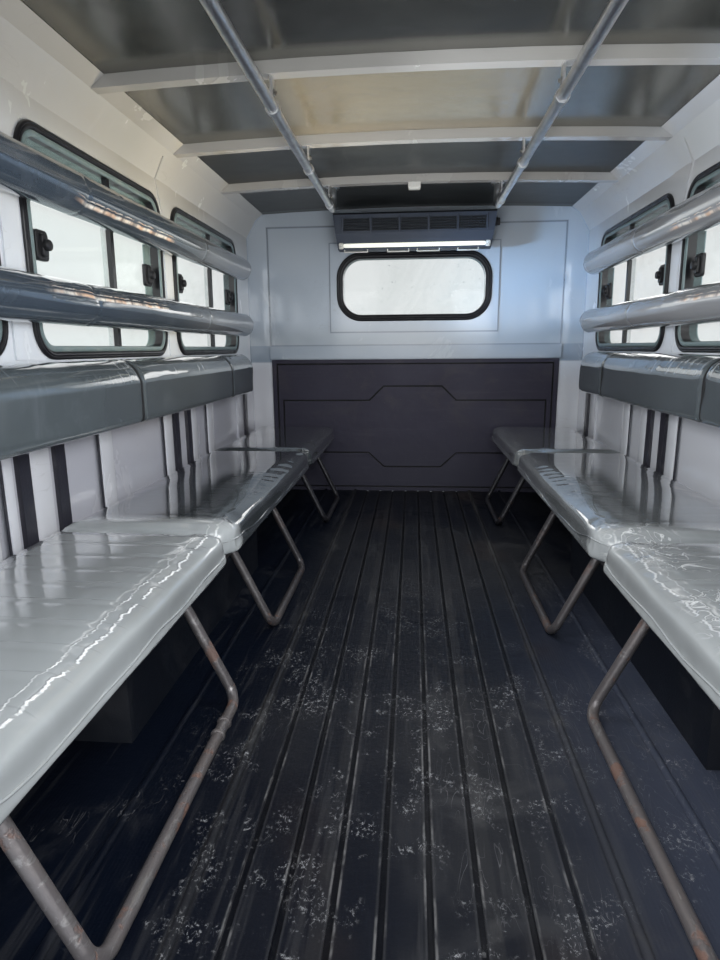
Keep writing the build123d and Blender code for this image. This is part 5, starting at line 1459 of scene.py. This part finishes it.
def make_world():
    """Even sky light; straight views and glass see plain white behind, and reflections a brighter one."""
    world = bpy.data.worlds.new("sky")
    world.use_nodes = True
    bpy.context.scene.world = world
    tree = world.node_tree
    background = tree.nodes["Background"]
    rays = tree.nodes.new("ShaderNodeLightPath")
    seen = rays.outputs["Is Camera Ray"]
    for name in ("Is Glossy Ray", "Is Transmission Ray"):
        larger = tree.nodes.new("ShaderNodeMath")
        larger.operation = "MAXIMUM"
        tree.links.new(seen, larger.inputs[0])
        tree.links.new(rays.outputs[name], larger.inputs[1])
        seen = larger.outputs[0]
    mix = tree.nodes.new("ShaderNodeMix")
    mix.data_type = "RGBA"
    mix.inputs[6].default_value = (0.42, 0.44, 0.47, 1)
    mix.inputs[7].default_value = (1, 1, 1, 1)
    tree.links.new(seen, mix.inputs[0])
    tree.links.new(mix.outputs[2], background.inputs["Color"])
    strength = tree.nodes.new("ShaderNodeMath")
    strength.operation = "MULTIPLY_ADD"
    tree.links.new(rays.outputs["Is Glossy Ray"], strength.inputs[0])
    strength.inputs[1].default_value = 0.7
    strength.inputs[2].default_value = 1.0
    tree.links.new(strength.outputs[0], background.inputs["Strength"])


def make_stage():
    """Pale floor, lamps, sky and camera; straight views see the floor a little brighter than it is lit."""
    f = Finish(
        "stage_floor", (0.80, 0.80, 0.80), Roughness=0.9, Specular_IOR_Level=0.1, Emission_Strength=1.0
    )
    f.feed("Emission Color", f.blend(f.node("ShaderNodeLightPath"), (0, 0, 0), (0.24, 0.24, 0.25)))
    mesh = bpy.data.meshes.new("stage_floor")
    corners = [(x * FLOOR_HALF, y * FLOOR_HALF, 0) for x, y in ((-1, -1), (1, -1), (1, 1), (-1, 1))]
    mesh.from_pydata(corners, [], [(0, 1, 2, 3)])
    mesh.materials.append(f.material)
    ground = bpy.data.objects.new("stage_floor", mesh)
    ground.location = (0, 0, CAD_BOX[0][2] - 0.0005)
    bpy.context.collection.objects.link(ground)
    make_lamps()
    make_world()
    make_camera()
    bpy.context.scene.view_settings.view_transform = "Standard"


# Operators, one for each group of pieces

def operator(name, label, words, make):
    """An operator class that runs one maker."""

    def execute(self, context):
        make()
        return {"FINISHED"}

    return type(f"TRUCK_OT_{name}", (bpy.types.Operator,), {
        "__doc__": words, "bl_idname": f"truck.{name}", "bl_label": label, "execute": execute,
    })


OPERATORS = [
    operator("paint", "Paint the body", "Give every solid its finish", paint_nodes),
    operator("cushions", "Seat cushions", "Swell, sew and film the six cushions", make_cushions),
    operator("backrests", "Backrests", "Build the two backrests with their seams", make_backrests),
    operator("rails", "Padded rails", "Build the four padded rails", make_rails),
    operator("windows", "Window trim", "Build the rubber beads, lips and latches", make_window_trim),
    operator("air_unit", "Air unit trim", "Build the vanes, light strip and knob", make_air_unit_trim),
    operator("grab_rails", "Grab rail screws", "Build the screws of the grab rails", make_rail_fittings),
    operator("benches", "Bench fittings", "Build the welds, sleeves and screws of the benches",
             make_bench_fittings),
    operator("wall_ribs", "Wall ribs", "Build the pressed ribs of the bed's sides", make_wall_ribs),
    operator("rear", "Tailgate fittings", "Build the tailgate's handle and bolts", make_tailgate_fittings),
    operator("stage", "Stage", "Build the floor, lamps, sky and camera", make_stage),
]


class TRUCK_PT_dressing(bpy.types.Panel):
    """Lists the makers in the 3D view's sidebar."""

    bl_label = "Truck body"
    bl_idname = "TRUCK_PT_dressing"
    bl_space_type = "VIEW_3D"
    bl_region_type = "UI"
    bl_category = "Truck body"

    def draw(self, context):
        for group in (context.scene.truck_padding, context.scene.truck_body):
            box = self.layout.box()
            for name in group.__annotations__:
                box.prop(group, name)
        for made in OPERATORS:
            self.layout.operator(made.bl_idname)


CLASSES = [PaddingSettings, BodySettings, *OPERATORS, TRUCK_PT_dressing]


def register():
    """Registers the classes and the scene's settings."""
    for made in CLASSES:
        bpy.utils.register_class(made)
    bpy.types.Scene.truck_padding = bpy.props.PointerProperty(type=PaddingSettings)
    bpy.types.Scene.truck_body = bpy.props.PointerProperty(type=BodySettings)


def unregister():
    """Takes the settings and the classes away again."""
    del bpy.types.Scene.truck_body
    del bpy.types.Scene.truck_padding
    for made in reversed(CLASSES):
        bpy.utils.unregister_class(made)


def main():
    """Runs every maker in order and writes the sizes before and after."""
    register()
    for made in OPERATORS:
        group, name = made.bl_idname.split(".")
        getattr(getattr(bpy.ops, group), name)()


if __name__ == "__main__":
    main()
